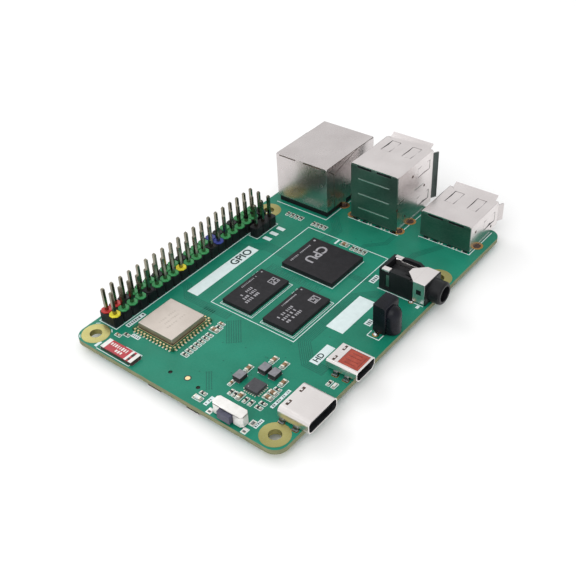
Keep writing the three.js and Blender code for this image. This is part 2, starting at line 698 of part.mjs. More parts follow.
// A flat slab with a domed lens column standing out of its face.
function irReceiver() {
  const { x, y, width, depth, height, lensRadius, foot } = IR;
  const face = y - depth / 2;
  const lensTop = height - 1.5 - lensRadius * 0.55;
  const body = slab(x, y, width, depth, [foot, height]);
  const column = post(x, face, lensRadius, [foot, lensTop], BARREL);
  const dome = new THREE.SphereGeometry(lensRadius, BARREL, BARREL / 2).rotateX(Math.PI / 2);
  const wedge = slab(x, face - 0.4, lensRadius * 1.5, 1.2, [foot, height - 1]);
  return join(body, wedge, column, dome.translate(x, face, lensTop));
}

function irLeadPlaces() {
  return [-1, 0, 1].map((step) => IR.x + step * IR_LEAD.pitch);
}

function irLead(x) {
  return slab(x, IR.y, IR_LEAD.length, IR_LEAD.width, [-BOARD.thickness - IR_LEAD.drop, IR.foot - FIT_GAP]);
}

// ---------------------------------------------------------------- micro connectors: open towards -Y

// The legs on both sides of a micro connector's shell.
function smallLegs({ x, mouth, width, sheet, legs }) {
  const span = [-BOARD.thickness / 2, SMALL_LEG.top];
  return legs.flatMap((y) =>
    about(x, width - sheet).map((legX) => slab(legX, mouth + y, sheet, SMALL_LEG.width, span)),
  );
}

// The two spring openings in the roof of a micro connector's shell.
function roofCatches({ x, mouth, height }, { spacing, y, length, width }) {
  return about(x, spacing).map((catchX) => slab(catchX, mouth + y, length, width, [height - 1, height + 1]));
}

// The HDMI shell's section in (x, z): square shoulders above, drawn in below.
function hdmiSection(inset) {
  const { x, width, height } = HDMI;
  const half = width / 2 - inset;
  const low = half - 0.75;
  const top = height - inset;
  const shoulder = 0.35;
  const knee = 1.1;
  return [
    [x - low, HDMI_FOOT + inset],
    [x + low, HDMI_FOOT + inset],
    [x + half, knee],
    [x + half, top - shoulder],
    [x + half - shoulder, top],
    [x - half + shoulder, top],
    [x - half, top - shoulder],
    [x - half, knee],
  ];
}

function hdmiShell() {
  const { x, mouth, length, height, sheet } = HDMI;
  const ends = [mouth, mouth + length];
  const tube = cut(alongY(hdmiSection(0), ends), alongY(hdmiSection(sheet), [ends[0] - 1, ends[1] + 1]));
  const windowSpan = HDMI_WINDOW.y.map((y) => mouth + y);
  const window = block(about(x, HDMI_WINDOW.width), windowSpan, [height - 1, height + 1]);
  return join(cut(tube, window, ...roofCatches(HDMI, HDMI_CATCH)), ...smallLegs(HDMI));
}

// The film that covers the spring fingers, let into the roof.
function hdmiWindow() {
  const { x, mouth, height } = HDMI;
  const { width, y, thickness, depth, gap } = HDMI_WINDOW;
  const top = height - depth;
  const ySpan = [mouth + y[0] + gap, mouth + y[1] - gap];
  return block(about(x, width - 2 * gap), ySpan, [top - thickness, top]);
}

function hdmiInsulator() {
  const { x, mouth, length, sheet } = HDMI;
  const back = mouth + length;
  const rear = alongY(hdmiSection(sheet + FIT_GAP), [back - REAR_BLOCK, back - 0.1]);
  const tongue = block(about(x, HDMI_TONGUE.width), [mouth + HDMI_TONGUE.start, back - 1], HDMI_TONGUE.z);
  return join(rear, tongue);
}

// The USB-C shell's section in (x, z).
function usbCSection(inset) {
  const { x, width, height } = USB_C;
  const middle = height / 2 + STAND_OFF;
  const corner = USB_C_CORNER - inset;
  return roundedRectangle(x, middle, width - 2 * inset, height - 2 * STAND_OFF - 2 * inset, corner);
}

function usbCShell() {
  const { mouth, length, sheet } = USB_C;
  const ends = [mouth, mouth + length];
  const tube = cut(alongY(usbCSection(0), ends), alongY(usbCSection(sheet), [ends[0] - 1, ends[1] + 1]));
  return join(cut(tube, ...roofCatches(USB_C, USB_C_CATCH)), ...smallLegs(USB_C));
}

function usbCInsulator() {
  const { x, mouth, length, height, sheet } = USB_C;
  const { width, thickness, recess } = USB_C_TONGUE;
  const back = mouth + length;
  const rear = alongY(usbCSection(sheet + FIT_GAP), [back - REAR_BLOCK, back - 0.1]);
  const middle = height / 2 + STAND_OFF;
  const tongue = block(about(x, width), [mouth + recess, back - recess], about(middle, thickness));
  return join(rear, tongue);
}

// ---------------------------------------------------------------- side-push button: pressed towards +X

const BUTTON_X = about(BUTTON.x, BUTTON.depth); // the button's face and its back

function buttonBase() {
  const { y, length } = BUTTON;
  const body = block([BUTTON_X[0] + 0.25, BUTTON_X[1] - 0.28], about(y, length - 1.2), [STAND_OFF, 2.65]);
  const well = block([BUTTON_X[0] - 1, BUTTON_X[1] - 0.75], about(y, PLUNGER.width + 0.3), [0.55, 4]);
  return cut(body, well);
}

// The cover wraps the base from above, behind and at both ends, and leaves the plunger's face open.
function buttonCover() {
  const { y, length, height, sheet } = BUTTON;
  const can = block(BUTTON_X, about(y, length), [0.3, height]);
  const insideX = about(BUTTON.x, BUTTON.depth - 2 * sheet);
  const inside = block(insideX, about(y, length - 1.1), [-1, height - sheet]);
  const opening = block(about(BUTTON_X[0], 2), about(y, PLUNGER.width + 0.4), [-1, height - 0.28]);
  return cut(can, inside, opening);
}

// The plunger's nib stops just short of the dome when the plunger has travelled all the way in.
function buttonPlunger() {
  const { y, travel } = BUTTON;
  const domeFace = BUTTON_X[1] - DOME.behind - DOME.rise - DOME.thickness;
  const nibEnd = domeFace - travel - DOME.rest;
  const barEnd = nibEnd - PLUNGER.nib;
  return join(
    block([BUTTON_X[0] - PLUNGER.proud, barEnd], about(y, PLUNGER.width), PLUNGER.z),
    block([barEnd - 0.1, nibEnd], about(y, PLUNGER.nibWidth), PLUNGER.nibZ),
  );
}

// The snap dome behind the plunger: a shallow arched strip standing on edge.
function buttonDome() {
  const back = BUTTON_X[1] - DOME.behind;
  const crown = back - DOME.rise;
  const [near, far] = about(BUTTON.y, DOME.width);
  const arch = [
    [back, near],
    [crown, BUTTON.y],
    [back, far],
    [back - DOME.thickness, far],
    [crown - DOME.thickness, BUTTON.y],
    [back - DOME.thickness, near],
  ];
  return plate(arch, DOME.z);
}

// ---------------------------------------------------------------- microSD socket, hung under the left edge

const SD_TOP = -BOARD.thickness - STAND_OFF;
const SD_BOTTOM = SD_TOP - SD.height;
const SD_BACK = SD.x + SD.length;
const SD_RAIL_Y = [SD.y + SD_RAIL.offset, SD.y + SD_RAIL.offset + SD_RAIL.width];
const SD_SLIDER_Z = [SD_BOTTOM + SD.sheet + 0.1, SD_TOP - 0.4];

// The tray, cut out for the card, the slider's rail, the thumb notch and the contacts, with two pegs.
function sdBase() {
  const { x, y, width, sheet } = SD;
  const wall = sheet + FIT_GAP;
  const tray = block([x + 0.4, SD_BACK - wall], about(y, width - 2 * wall), [SD_BOTTOM + wall, SD_TOP]);
  const below = SD_BOTTOM - 1;
  const stop = SD_BACK - 1.2;
  const cuts = [
    block([x - 1, stop], about(y, SD_CARD.width), [below, SD_BOTTOM + sheet + SD_CARD.thickness]),
    block([x + SD_RAIL.start - 0.1, stop], [SD_RAIL_Y[0] - 0.4, SD_RAIL_Y[1] + 0.03], [below, SD_TOP - 0.3]),
    slab(x, y, 2.4, 6, [below, SD_TOP + 1]),
    slab(x + 10.5, y + SD_CONTACTS.shift, 4.8, 8.9, [below, SD_TOP - 0.3]),
  ];
  const pegs = SD_PEGS.y.map((pegY) => post(SD_PEGS.x, pegY, SD_PEGS.radius, [SD_TOP - 0.2, -0.15]));
  return join(cut(tray, ...cuts), ...pegs);
}

// The pressed cover: a floor under the card with turned-up sides and back.
function sdCover() {
  const { x, y, width, sheet } = SD;
  const insideY = about(y, width - 2 * sheet);
  const inside = block([x - 1, SD_BACK - sheet], insideY, [SD_BOTTOM + sheet, SD_TOP + 1]);
  const throughFloor = about(SD_BOTTOM, 2);
  const window = slab(x + 9, y + 1, 5, 3, throughFloor);
  const thumbNotch = slab(x, y, 2.2, 7, throughFloor);
  return cut(block([x, SD_BACK], about(y, width), [SD_BOTTOM, SD_TOP]), inside, window, thumbNotch);
}

// The push-push slider: a bar on the rail with a heel that the card's front edge pushes.
function sdSlider() {
  const { length, heel, heelReach } = SD_SLIDER;
  const start = SD.x + SD_RAIL.start + FIT_GAP;
  const end = start + length;
  const heelZ = [SD_SLIDER_Z[0], SD_BOTTOM + SD.sheet + 0.7];
  return join(
    block([start, end], [SD_RAIL_Y[0] + 0.03, SD_RAIL_Y[1] - 0.05], SD_SLIDER_Z),
    block([end - heel, end], [SD_RAIL_Y[0] - heelReach, SD_RAIL_Y[0] + 0.2], heelZ),
  );
}

// The slider's return spring: a coil of round wire along X, at its free length.
class Coil extends THREE.Curve {
  getPoint(t, target = new THREE.Vector3()) {
    const angle = 2 * Math.PI * SD_SPRING.turns * t;
    const { radius, length } = SD_SPRING;
    return target.set(length * t, radius * Math.cos(angle), radius * Math.sin(angle));
  }
}

function sdSpring() {
  const wire = new THREE.Shape();
  wire.absarc(0, 0, SD_SPRING.wire, 0, 2 * Math.PI);
  const drawn = new THREE.ExtrudeGeometry(wire, {
    steps: SD_SPRING.turns * 8,
    curveSegments: 4,
    extrudePath: new Coil(),
  });
  const start = SD.x + SD_RAIL.start + SD_SLIDER.length + SD_SPRING.gap;
  const railMiddle = (SD_RAIL_Y[0] + SD_RAIL_Y[1]) / 2;
  return drawn.translate(start, railMiddle, (SD_SLIDER_Z[0] + SD_SLIDER_Z[1]) / 2);
}

// The row of eight card contacts at the back of the socket, tied by their solder bar.
function sdContacts() {
  const { count, pitch, shift, length, width, thickness, x } = SD_CONTACTS;
  const bottom = SD_BOTTOM + SD.sheet + SD_CARD.thickness + 0.03;
  const zSpan = [bottom, bottom + thickness];
  const y = SD.y + shift;
  const strips = [];
  for (let i = 0; i < count; i++)
    strips.push(slab(SD.x + x, y + pitch * (i - (count - 1) / 2), length, width, zSpan));
  return join(slab(SD.x + x + length / 2, y, 0.5, 8.6, zSpan), ...strips);
}

// ---------------------------------------------------------------- assembly

function piece(name, geometry, look) {
  const mesh = new THREE.Mesh(geometry, look);
  mesh.name = name;
  return mesh;
}

const board = new THREE.Group();
const onBoard = new THREE.Group();
onBoard.position.set(-BOARD.length / 2, -BOARD.width / 2, BOARD.thickness);
board.add(onBoard);

onBoard.add(
  piece("pcb", circuitBoard(), MASK),
  piece("soc", chip(SOC), MOULDING),
  ...RAM.rows.map((y, i) => piece(`ram_${i + 1}`, chip({ ...RAM, y }), MOULDING)),
  piece("wifi_module_board", wifiBoard(), MODULE_MASK),
  piece("wifi_module_shield", wifiShield(), BEIGE_METAL),
  piece("antenna", chip(ANTENNA), RED_PRINT),
  piece("power_ic", chip(POWER_IC), MOULDING),
  ...INDUCTORS.map((inductor, i) => piece(`inductor_${i + 1}`, chip(inductor), FERRITE)),
  piece("gpio_header", pinHeader(GPIO), BLACK_PLASTIC),
  piece("debug_header", pinHeader(DEBUG), BLACK_PLASTIC),
);

for (const [prefix, usb] of [["usb_single", USB_SINGLE], ["usb_dual", USB_DUAL]]) {
  const receptacle = new THREE.Group();
  receptacle.position.set(usb.mouthX, usb.y, 0);
  receptacle.add(
    piece(`${prefix}_shell`, usbShell(usb), TINNED),
    piece(`${prefix}_insulator`, usbInsulator(usb), BLACK_PLASTIC),
    piece(`${prefix}_back_plate`, usbBackPlate(usb), TINNED),
  );
  onBoard.add(receptacle);
}

onBoard.add(
  piece("ethernet_shield", ethernetShield(), TINNED),
  piece("ethernet_housing", ethernetHousing(), BLACK_PLASTIC),
  piece("ethernet_contact_insert", ethernetContacts(), GOLD),
  piece("ethernet_magnetics", ethernetMagnetics(), BLACK_PLASTIC),
  piece("ethernet_light_pipe_left", lightPipe(-1, 0, -SHEET), CLEAR),
  piece("ethernet_light_pipe_right", lightPipe(1, 0, -SHEET), CLEAR),
  piece("audio_jack_housing", audioHousing(), BLACK_PLASTIC),
  piece("audio_sleeve_plate", audioSleevePlate(), TINNED),
  piece("audio_contact_left", audioContact(-1), TINNED),
  piece("audio_contact_right", audioContact(1), TINNED),
  piece("ir_receiver", irReceiver(), SMOKED),
  ...irLeadPlaces().map((x, i) => piece(`ir_lead_${i + 1}`, irLead(x), TINNED)),
  piece("hdmi_shell", hdmiShell(), TINNED),
  piece("hdmi_window", hdmiWindow(), AMBER),
  piece("hdmi_insulator", hdmiInsulator(), BLACK_PLASTIC),
  piece("usb_c_shell", usbCShell(), TINNED),
  piece("usb_c_insulator", usbCInsulator(), BLACK_PLASTIC),
  piece("button_base", buttonBase(), BLACK_PLASTIC),
  piece("button_cover", buttonCover(), BEIGE_METAL),
  piece("button_plunger", buttonPlunger(), SLATE),
  piece("button_dome", buttonDome(), TINNED),
  piece("sd_socket_base", sdBase(), BLACK_PLASTIC),
  piece("sd_socket_cover", sdCover(), TINNED),
  piece("sd_slider", sdSlider(), BLACK_PLASTIC),
  piece("sd_spring", sdSpring(), TINNED),
  piece("sd_contacts", sdContacts(), GOLD),
);

export default board;
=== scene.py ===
"""A single board computer: surface detail, print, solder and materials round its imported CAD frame.

Shapes are given in millimetres from the board's front left corner on its top face, as (x, y, z).
Sculpt.finish writes them into the frame in metres.
"""
import math
import random

import bmesh
import bpy
from mathutils import Matrix, Vector


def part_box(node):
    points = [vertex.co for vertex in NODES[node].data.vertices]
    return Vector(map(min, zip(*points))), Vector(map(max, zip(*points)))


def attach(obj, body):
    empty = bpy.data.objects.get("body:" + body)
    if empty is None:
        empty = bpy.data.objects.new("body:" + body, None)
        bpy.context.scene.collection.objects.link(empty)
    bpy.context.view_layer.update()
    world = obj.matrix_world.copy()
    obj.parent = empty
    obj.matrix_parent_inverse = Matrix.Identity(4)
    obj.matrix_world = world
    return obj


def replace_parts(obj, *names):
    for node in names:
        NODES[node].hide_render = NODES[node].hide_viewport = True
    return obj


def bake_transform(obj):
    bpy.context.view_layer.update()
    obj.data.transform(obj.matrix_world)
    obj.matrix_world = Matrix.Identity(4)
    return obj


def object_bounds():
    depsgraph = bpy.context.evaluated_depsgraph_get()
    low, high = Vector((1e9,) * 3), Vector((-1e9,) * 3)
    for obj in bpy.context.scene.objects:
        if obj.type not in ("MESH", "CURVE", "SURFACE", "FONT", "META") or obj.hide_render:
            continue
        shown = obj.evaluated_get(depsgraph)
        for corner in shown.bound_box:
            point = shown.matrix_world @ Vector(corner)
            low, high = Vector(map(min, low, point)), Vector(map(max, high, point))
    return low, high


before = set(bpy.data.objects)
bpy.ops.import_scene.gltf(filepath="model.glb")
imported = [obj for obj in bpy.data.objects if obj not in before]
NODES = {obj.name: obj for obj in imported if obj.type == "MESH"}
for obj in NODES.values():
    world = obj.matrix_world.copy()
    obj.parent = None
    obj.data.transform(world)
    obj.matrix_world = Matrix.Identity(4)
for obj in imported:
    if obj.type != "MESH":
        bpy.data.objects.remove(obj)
CAD_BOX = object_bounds()

MM = 0.001
PAD_RISE = 0.05  # how far the board's gold pads stand over its mask
PCB_LOW, PCB_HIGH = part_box("pcb")
ORIGIN = Vector((PCB_LOW.x, PCB_LOW.y, PCB_HIGH.z - PAD_RISE * MM))
LENGTH = (PCB_HIGH.x - PCB_LOW.x) / MM
WIDTH = (PCB_HIGH.y - PCB_LOW.y) / MM
UNDERSIDE = -((PCB_HIGH.z - PCB_LOW.z) / MM - 2 * PAD_RISE)

LIFT = 0.001  # gap between the mask and a layer that lies on it
INK = 0.02  # height of the white print over the mask
TRACK = 0.012  # height of a track under the mask
LAND = 0.03  # height of a solder land
MARK_RISE = 0.012  # height of a laser mark
STROKE = 0.022  # how far a letter's strokes are thickened, as a share of its size
PITCH = 2.54  # of the pins in a header, and as high as a header's moulding
NEAR = 0.005  # two places closer than this are the same


def to_board(point):
    """A point of the frame, in metres, as board millimetres."""
    return (Vector(point) - ORIGIN) / MM


class Span:
    """The box round a CAD node, in board millimetres, and its middle."""

    def __init__(self, node):
        low, high = (to_board(corner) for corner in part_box(node))
        self.x0, self.y0, self.z0 = low
        self.x1, self.y1, self.z1 = high
        self.x = (self.x0 + self.x1) / 2
        self.y = (self.y0 + self.y1) / 2

    def around(self, gap_x, gap_y):
        """A rectangle this far outside the box."""
        return rectangle(self.x0 - gap_x, self.x1 + gap_x, self.y0 - gap_y, self.y1 + gap_y)

    def corner(self, gap_x, gap_y):
        """A path this far outside the box's left and front sides."""
        x, y = self.x0 - gap_x, self.y0 - gap_y
        return [(x, self.y1), (x, y), (self.x1, y)]


# ---- materials


class Shader:
    """A material's node tree, built up round one Principled BSDF."""

    def __init__(self, name):
        self.material = bpy.data.materials.new(name)
        self.material.use_nodes = True
        self.tree = self.material.node_tree
        self.surface = self.tree.nodes["Principled BSDF"]
        self.place = self.tree.nodes.new("ShaderNodeTexCoord").outputs["Object"]

    def set(self, **values):
        for name, value in values.items():
            self.wire(value, self.surface.inputs[name.replace("_", " ")])

    def wire(self, value, socket):
        """Links an output, or sets a plain value."""
        if isinstance(value, bpy.types.NodeSocket):
            self.tree.links.new(value, socket)
        elif isinstance(value, tuple) and len(value) == 3 and socket.type == "RGBA":
            socket.default_value = (*value, 1)
        else:
            socket.default_value = value

    def node(self, kind, output, inputs, **settings):
        """One output of a new node with these inputs."""
        node = self.tree.nodes.new("ShaderNode" + kind)
        for name, value in settings.items():
            setattr(node, name, value)
        for name, value in inputs.items():
            self.wire(value, node.inputs[name])
        return node.outputs[output]

    def noise(self, size_mm, detail=3, stretch=(1, 1, 1)):
        """Noise between 0 and 1 whose blotches are about this size."""
        mapped = self.node("Mapping", "Vector", {"Vector": self.place, "Scale": stretch})
        inputs = {"Vector": mapped, "Scale": 1 / (size_mm * MM), "Detail": detail, "Roughness": 0.55}
        return self.node("TexNoise", "Fac", inputs)

    def spread(self, value, low, high, start=0.3, end=0.7):
        """A 0 to 1 value stretched to run from low to high."""
        inputs = {"Value": value, "From Min": start, "From Max": end, "To Min": low, "To Max": high}
        return self.node("MapRange", "Result", inputs)

    def between(self, value, first, second):
        """A colour between two, by a 0 to 1 value."""
        first_colour, second_colour, mixed_colour = 6, 7, 2  # the mix node's colour sockets
        inputs = {"Factor": value, first_colour: first, second_colour: second}
        return self.node("Mix", mixed_colour, inputs, data_type="RGBA")

    def bump(self, height, depth_mm, strength=1):
        """Finishes the material with a fine relief."""
        inputs = {"Height": height, "Distance": depth_mm * MM, "Strength": strength}
        self.wire(self.node("Bump", "Normal", inputs), self.surface.inputs["Normal"])
        return self.material


def rgb(code):
    """A hex colour as linear light."""
    channels = [int(code[i : i + 2], 16) / 255 for i in (0, 2, 4)]
    return tuple(c / 12.92 if c <= 0.04045 else ((c + 0.055) / 1.055) ** 2.4 for c in channels)


def mottled(name, dark, light, blotch, roughness, bump_size, bump_depth, **more):
    """A surface whose colour drifts between two shades, with its own fine bump and uneven gloss."""
    shader = Shader(name)
    drift = shader.spread(shader.noise(blotch), 0, 1)
    grain = shader.noise(bump_size, detail=4)
    shader.set(Base_Color=shader.between(drift, rgb(dark), rgb(light)))
    shader.set(Roughness=shader.spread(shader.noise(blotch * 0.6), roughness * 0.85, roughness * 1.15))
    shader.set(**more)
    return shader.bump(grain, bump_depth)


def solder_mask(name, dark, light):
    """Glossy lacquer over glass cloth: a faint weave, a slow drift of colour and a fine orange peel."""
    shader = Shader(name)
    drift = shader.spread(shader.noise(11, detail=2), 0, 1)
    fleck = shader.spread(shader.noise(0.35, detail=2), 0, 0.07, 0.35, 0.75)
    base = shader.between(drift, rgb(dark), rgb(light))
    shader.set(Base_Color=shader.between(fleck, base, rgb("4fa88c")))
    shader.set(Roughness=shader.spread(shader.noise(3), 0.3, 0.42), Specular_IOR_Level=0.22)
    weave = shader.node("TexWave", "Fac", {"Vector": shader.place, "Scale": 330, "Distortion": 0.4})
    peel = shader.noise(0.5, detail=2)
    both = shader.node("Math", 0, {0: weave, 1: peel}, operation="ADD")
    return shader.bump(both, 0.004, 0.5)


def sheet_metal(name, dark, light, roughness, stretch=(1, 1, 1)):
    """Plated sheet: slow smudges, fine drawn lines along one direction and a slightly uneven gloss."""
    shader = Shader(name)
    smudge = shader.spread(shader.noise(9, detail=2), 0, 1, 0.2, 0.8)
    lines = shader.noise(0.12, detail=2, stretch=stretch)
    tone = shader.between(smudge, rgb(dark), rgb(light))
    worn = shader.spread(lines, 0, 0.1, 0.45, 0.8)
    shader.set(Base_Color=shader.between(worn, tone, rgb("ffffff")), Metallic=1)
    shader.set(Roughness=shader.spread(shader.noise(3, detail=2), roughness * 0.92, roughness * 1.1))
    return shader.bump(lines, 0.0006, 0.3)


def board_edge():
    """Cut glass epoxy: pale resin with the plies showing as thin level lines."""
    shader = Shader("board_edge")
    plies = shader.noise(0.16, detail=2, stretch=(0.08, 0.08, 1))
    shader.set(Base_Color=shader.between(shader.spread(plies, 0, 1), rgb("5b6248"), rgb("8b8a63")))
    shader.set(Roughness=0.7)
    return shader.bump(shader.noise(0.12), 0.01, 0.5)


def clear_plastic():
    shader = Shader("clear_plastic")
    shader.set(Base_Color=rgb("dfe8d8"), Roughness=shader.spread(shader.noise(0.8), 0.08, 0.2))
    shader.set(Transmission_Weight=0.6, IOR=1.49)
    return shader.bump(shader.noise(0.6), 0.004)


def smoked_epoxy():
    shader = Shader("smoked_epoxy")
    drift = shader.spread(shader.noise(2.5), 0, 1)
    shader.set(Base_Color=shader.between(drift, rgb("0b0c11"), rgb("14151e")))
    shader.set(Roughness=shader.spread(shader.noise(1.5), 0.24, 0.34), Specular_IOR_Level=0.2)
    return shader.bump(shader.noise(0.5), 0.003, 0.4)


MASK = solder_mask("solder_mask", "106f58", "188068")
TRACK_MASK = solder_mask("solder_mask_over_track", "0d5d4d", "146b58")
MODULE_MASK = solder_mask("module_mask", "1f4a30", "2b5c3c")
EDGE = board_edge()
SILK = mottled("white_print", "cddbdb", "d6e4e4", 1.2, 0.75, 0.1, 0.006)
SILK_TEXT = mottled("dark_print", "1a2d2c", "28403e", 1.2, 0.6, 0.1, 0.004)
PAD_GOLD = sheet_metal("gold_plating", "948f56", "b5ae70", 0.42)
RING_GOLD = sheet_metal("copper_ring", "b07f3c", "d2a55e", 0.4)
# Painted shade: a dark brown laid in holes, slots, seams and creases where shade falls.
RECESS_SHADE = mottled("painted_recess_shade", "2c1c12", "4a3020", 0.6, 0.4, 0.15, 0.01)
PIN_GOLD = sheet_metal("gold_pin", "6f6b5e", "a29c8a", 0.2, (1, 1, 0.15))
BARE_GOLD = sheet_metal("bare_gold", "e2c489", "f7e5bb", 0.35)
SOLDER = mottled("solder", "a9abad", "d9dbdc", 0.9, 0.24, 0.35, 0.01, Metallic=1)
DARK_SOLDER = mottled("solder_in_shade", "5b605f", "83898a", 0.7, 0.3, 0.3, 0.01, Metallic=1)
SHELL = sheet_metal("tinned_shell", "c6bfbe", "d8d2d1", 0.26, (0.15, 1, 1))
SHELL_USB = sheet_metal("tinned_shell_usb", "d6cfce", "e8e2e1", 0.24, (0.15, 1, 1))
SHELL_Y = sheet_metal("tinned_shell_small", "e2dcda", "f0ecea", 0.3, (1, 0.15, 1))
SEAM = mottled("seam_in_shade", "2a1d12", "4b3823", 0.8, 0.6, 0.1, 0.004)
BRASS_EDGE = sheet_metal("brass_edge", "8a6d42", "c0a274", 0.35)
# Plate metal darkened and tinted green as a painted reflection of the green board.
BACK_PLATE = sheet_metal("plate_painted_board_reflection", "62756e", "7d9088", 0.32, (1, 0.2, 1))
LIP_SHADE = sheet_metal("lip_in_shade", "3a4341", "4c5653", 0.35)
INNER = mottled("shell_inside", "34373a", "4a4e51", 2, 0.5, 0.2, 0.004, Metallic=0.8)
# Painted highlight: a brighter sheet metal on the back plate's ribs and along the shells' seams.
HIGHLIGHT_SHEET = sheet_metal("painted_highlight_sheet", "c9d2cd", "eef2ef", 0.3)
BLACK = mottled("black_moulding", "0f1013", "17181b", 2, 0.42, 0.12, 0.008, Specular_IOR_Level=0.25)
CHIP = mottled("chip_moulding", "151418", "1e1d21", 1.6, 0.5, 0.09, 0.008, Specular_IOR_Level=0.25)
POWER_CHIP = mottled("power_chip_moulding", "323136", "3e3d42", 1, 0.5, 0.09, 0.008)
MARK = mottled("laser_mark", "8e8c91", "a5a3a8", 0.6, 0.7, 0.08, 0.004)
CAN = sheet_metal("beige_can", "bcb2a9", "c9c0b8", 0.42)
CAN_MARK = mottled("can_engraving", "b2a89f", "bbb2a9", 0.6, 0.6, 0.1, 0.004)
COVER = mottled("nickel_cover", "dcdad6", "edebe8", 1.5, 0.34, 0.15, 0.004, Metallic=0.35)
RED = mottled("red_glaze", "9c1524", "b52331", 1, 0.35, 0.2, 0.004)
GLAZE_WHITE = mottled("white_glaze", "d3d1cd", "e6e4e0", 1, 0.4, 0.2, 0.004)
BROWN = mottled("brown_ceramic", "2e1b17", "472b24", 0.8, 0.5, 0.12, 0.006)
FERRITE = mottled("ferrite", "707075", "85858b", 0.7, 0.6, 0.08, 0.012)
FERRITE_DARK = mottled("ferrite_side", "1f1f21", "2e2e31", 0.7, 0.6, 0.08, 0.012)
TAN = mottled("tan_ceramic", "71553b", "92714f", 0.6, 0.4, 0.1, 0.006)
WHITE_CERAMIC = mottled("white_ceramic", "c3c8c8", "dfe3e2", 0.6, 0.5, 0.1, 0.005)
RESISTOR = mottled("resistor_glaze", "101113", "1c1d20", 0.5, 0.35, 0.1, 0.005)
TIN = mottled("tinned_end", "cfc9bb", "efeadf", 0.5, 0.3, 0.1, 0.004, Metallic=0.6)
AMBER = mottled("amber_film", "8f2f1e", "a8442f", 1.3, 0.3, 0.4, 0.006)
AMBER_RIB = mottled("amber_rib", "74261a", "8a3324", 1.3, 0.3, 0.4, 0.006)
SLATE = mottled("slate_moulding", "2f2f3f", "45455a", 1.1, 0.38, 0.15, 0.008)
EPOXY = smoked_epoxy()
CLEAR = clear_plastic()
COLLARS = {
    "g": mottled("green_collar", "1d7a3d", "399a5b", 0.8, 0.45, 0.12, 0.008),
    "y": mottled("yellow_collar", "cfc115", "e6dc33", 0.8, 0.45, 0.12, 0.008),
    "r": mottled("red_collar", "a81c1c", "c8322c", 0.8, 0.45, 0.12, 0.008),
    "b": mottled("blue_collar", "1f2f80", "33449c", 0.8, 0.45, 0.12, 0.008),
}

# Flat layers: (lowest z, highest z, look)
PRINT = (LIFT, INK, SILK)
OVERPRINT = (INK, INK * 2, SILK_TEXT)
UNDER_PRINT = (UNDERSIDE - INK, UNDERSIDE - LIFT, SILK)


# ---- outlines


def rectangle(x0, x1, y0, y1):
    return [(x0, y0), (x1, y0), (x1, y1), (x0, y1)]


def slab_outline(x, y, length, width):
    return rectangle(x - length / 2, x + length / 2, y - width / 2, y + width / 2)


def circle(x, y, radius, segments=24, turn=0):
    steps = [turn + 2 * math.pi * i / segments for i in range(segments)]
    return [(x + radius * math.cos(a), y + radius * math.sin(a)) for a in steps]


def level(outline, z):
    """An outline as a ring of points at one height."""
    return [(u, v, z) for u, v in outline]


def rounded(outline, radius, steps=3):
    """An outline with each corner cut to an arc of this radius."""
    made = []
    for i, corner in enumerate(outline):
        here = Vector(corner)
        back = (Vector(outline[i - 1]) - here).normalized()
        ahead = (Vector(outline[(i + 1) % len(outline)]) - here).normalized()
        reach = radius / math.tan(back.angle(ahead) / 2)
        start, end = here + back * reach, here + ahead * reach
        for k in range(steps + 1):
            t = k / steps
            made.append(tuple(start.lerp(here, t).lerp(here.lerp(end, t), t)))
    return made


def inset(outline, distance):
    """An anticlockwise outline with every side moved inwards."""
    made = []
    count = len(outline)
    for i in range(count):
        before, here, after = (Vector(outline[(i + k) % count]) for k in (-1, 0, 1))
        normal_in = Vector((before.y - here.y, here.x - before.x)).normalized()
        normal_out = Vector((here.y - after.y, after.x - here.x)).normalized()
        middle = normal_in + normal_out
        made.append(tuple(here + middle * (distance / max(middle.dot(normal_in), 0.3))))
    return made


def shifted(path, offset):
    """An open path moved to its left by a constant distance."""
    steps = [(Vector(b) - Vector(a)).normalized() for a, b in zip(path, path[1:])]
    normals = [Vector((-step.y, step.x)) for step in steps]
    made = []
    for i, here in enumerate(path):
        before, after = normals[max(i - 1, 0)], normals[min(i, len(normals) - 1)]
        middle = before + after
        made.append(tuple(Vector(here) + middle * (offset / middle.dot(before))))
    return made


# ---- meshes


def upright(x, y, z):
    return (x, y, z)


def facing_x(y, z, x):
    """Places an outline drawn in (y, z) and raised along +X."""
    return (x, y, z)


def facing_y(x, z, y):
    """Places an outline drawn in (x, z) and raised along Y."""
    return (x, y, z)


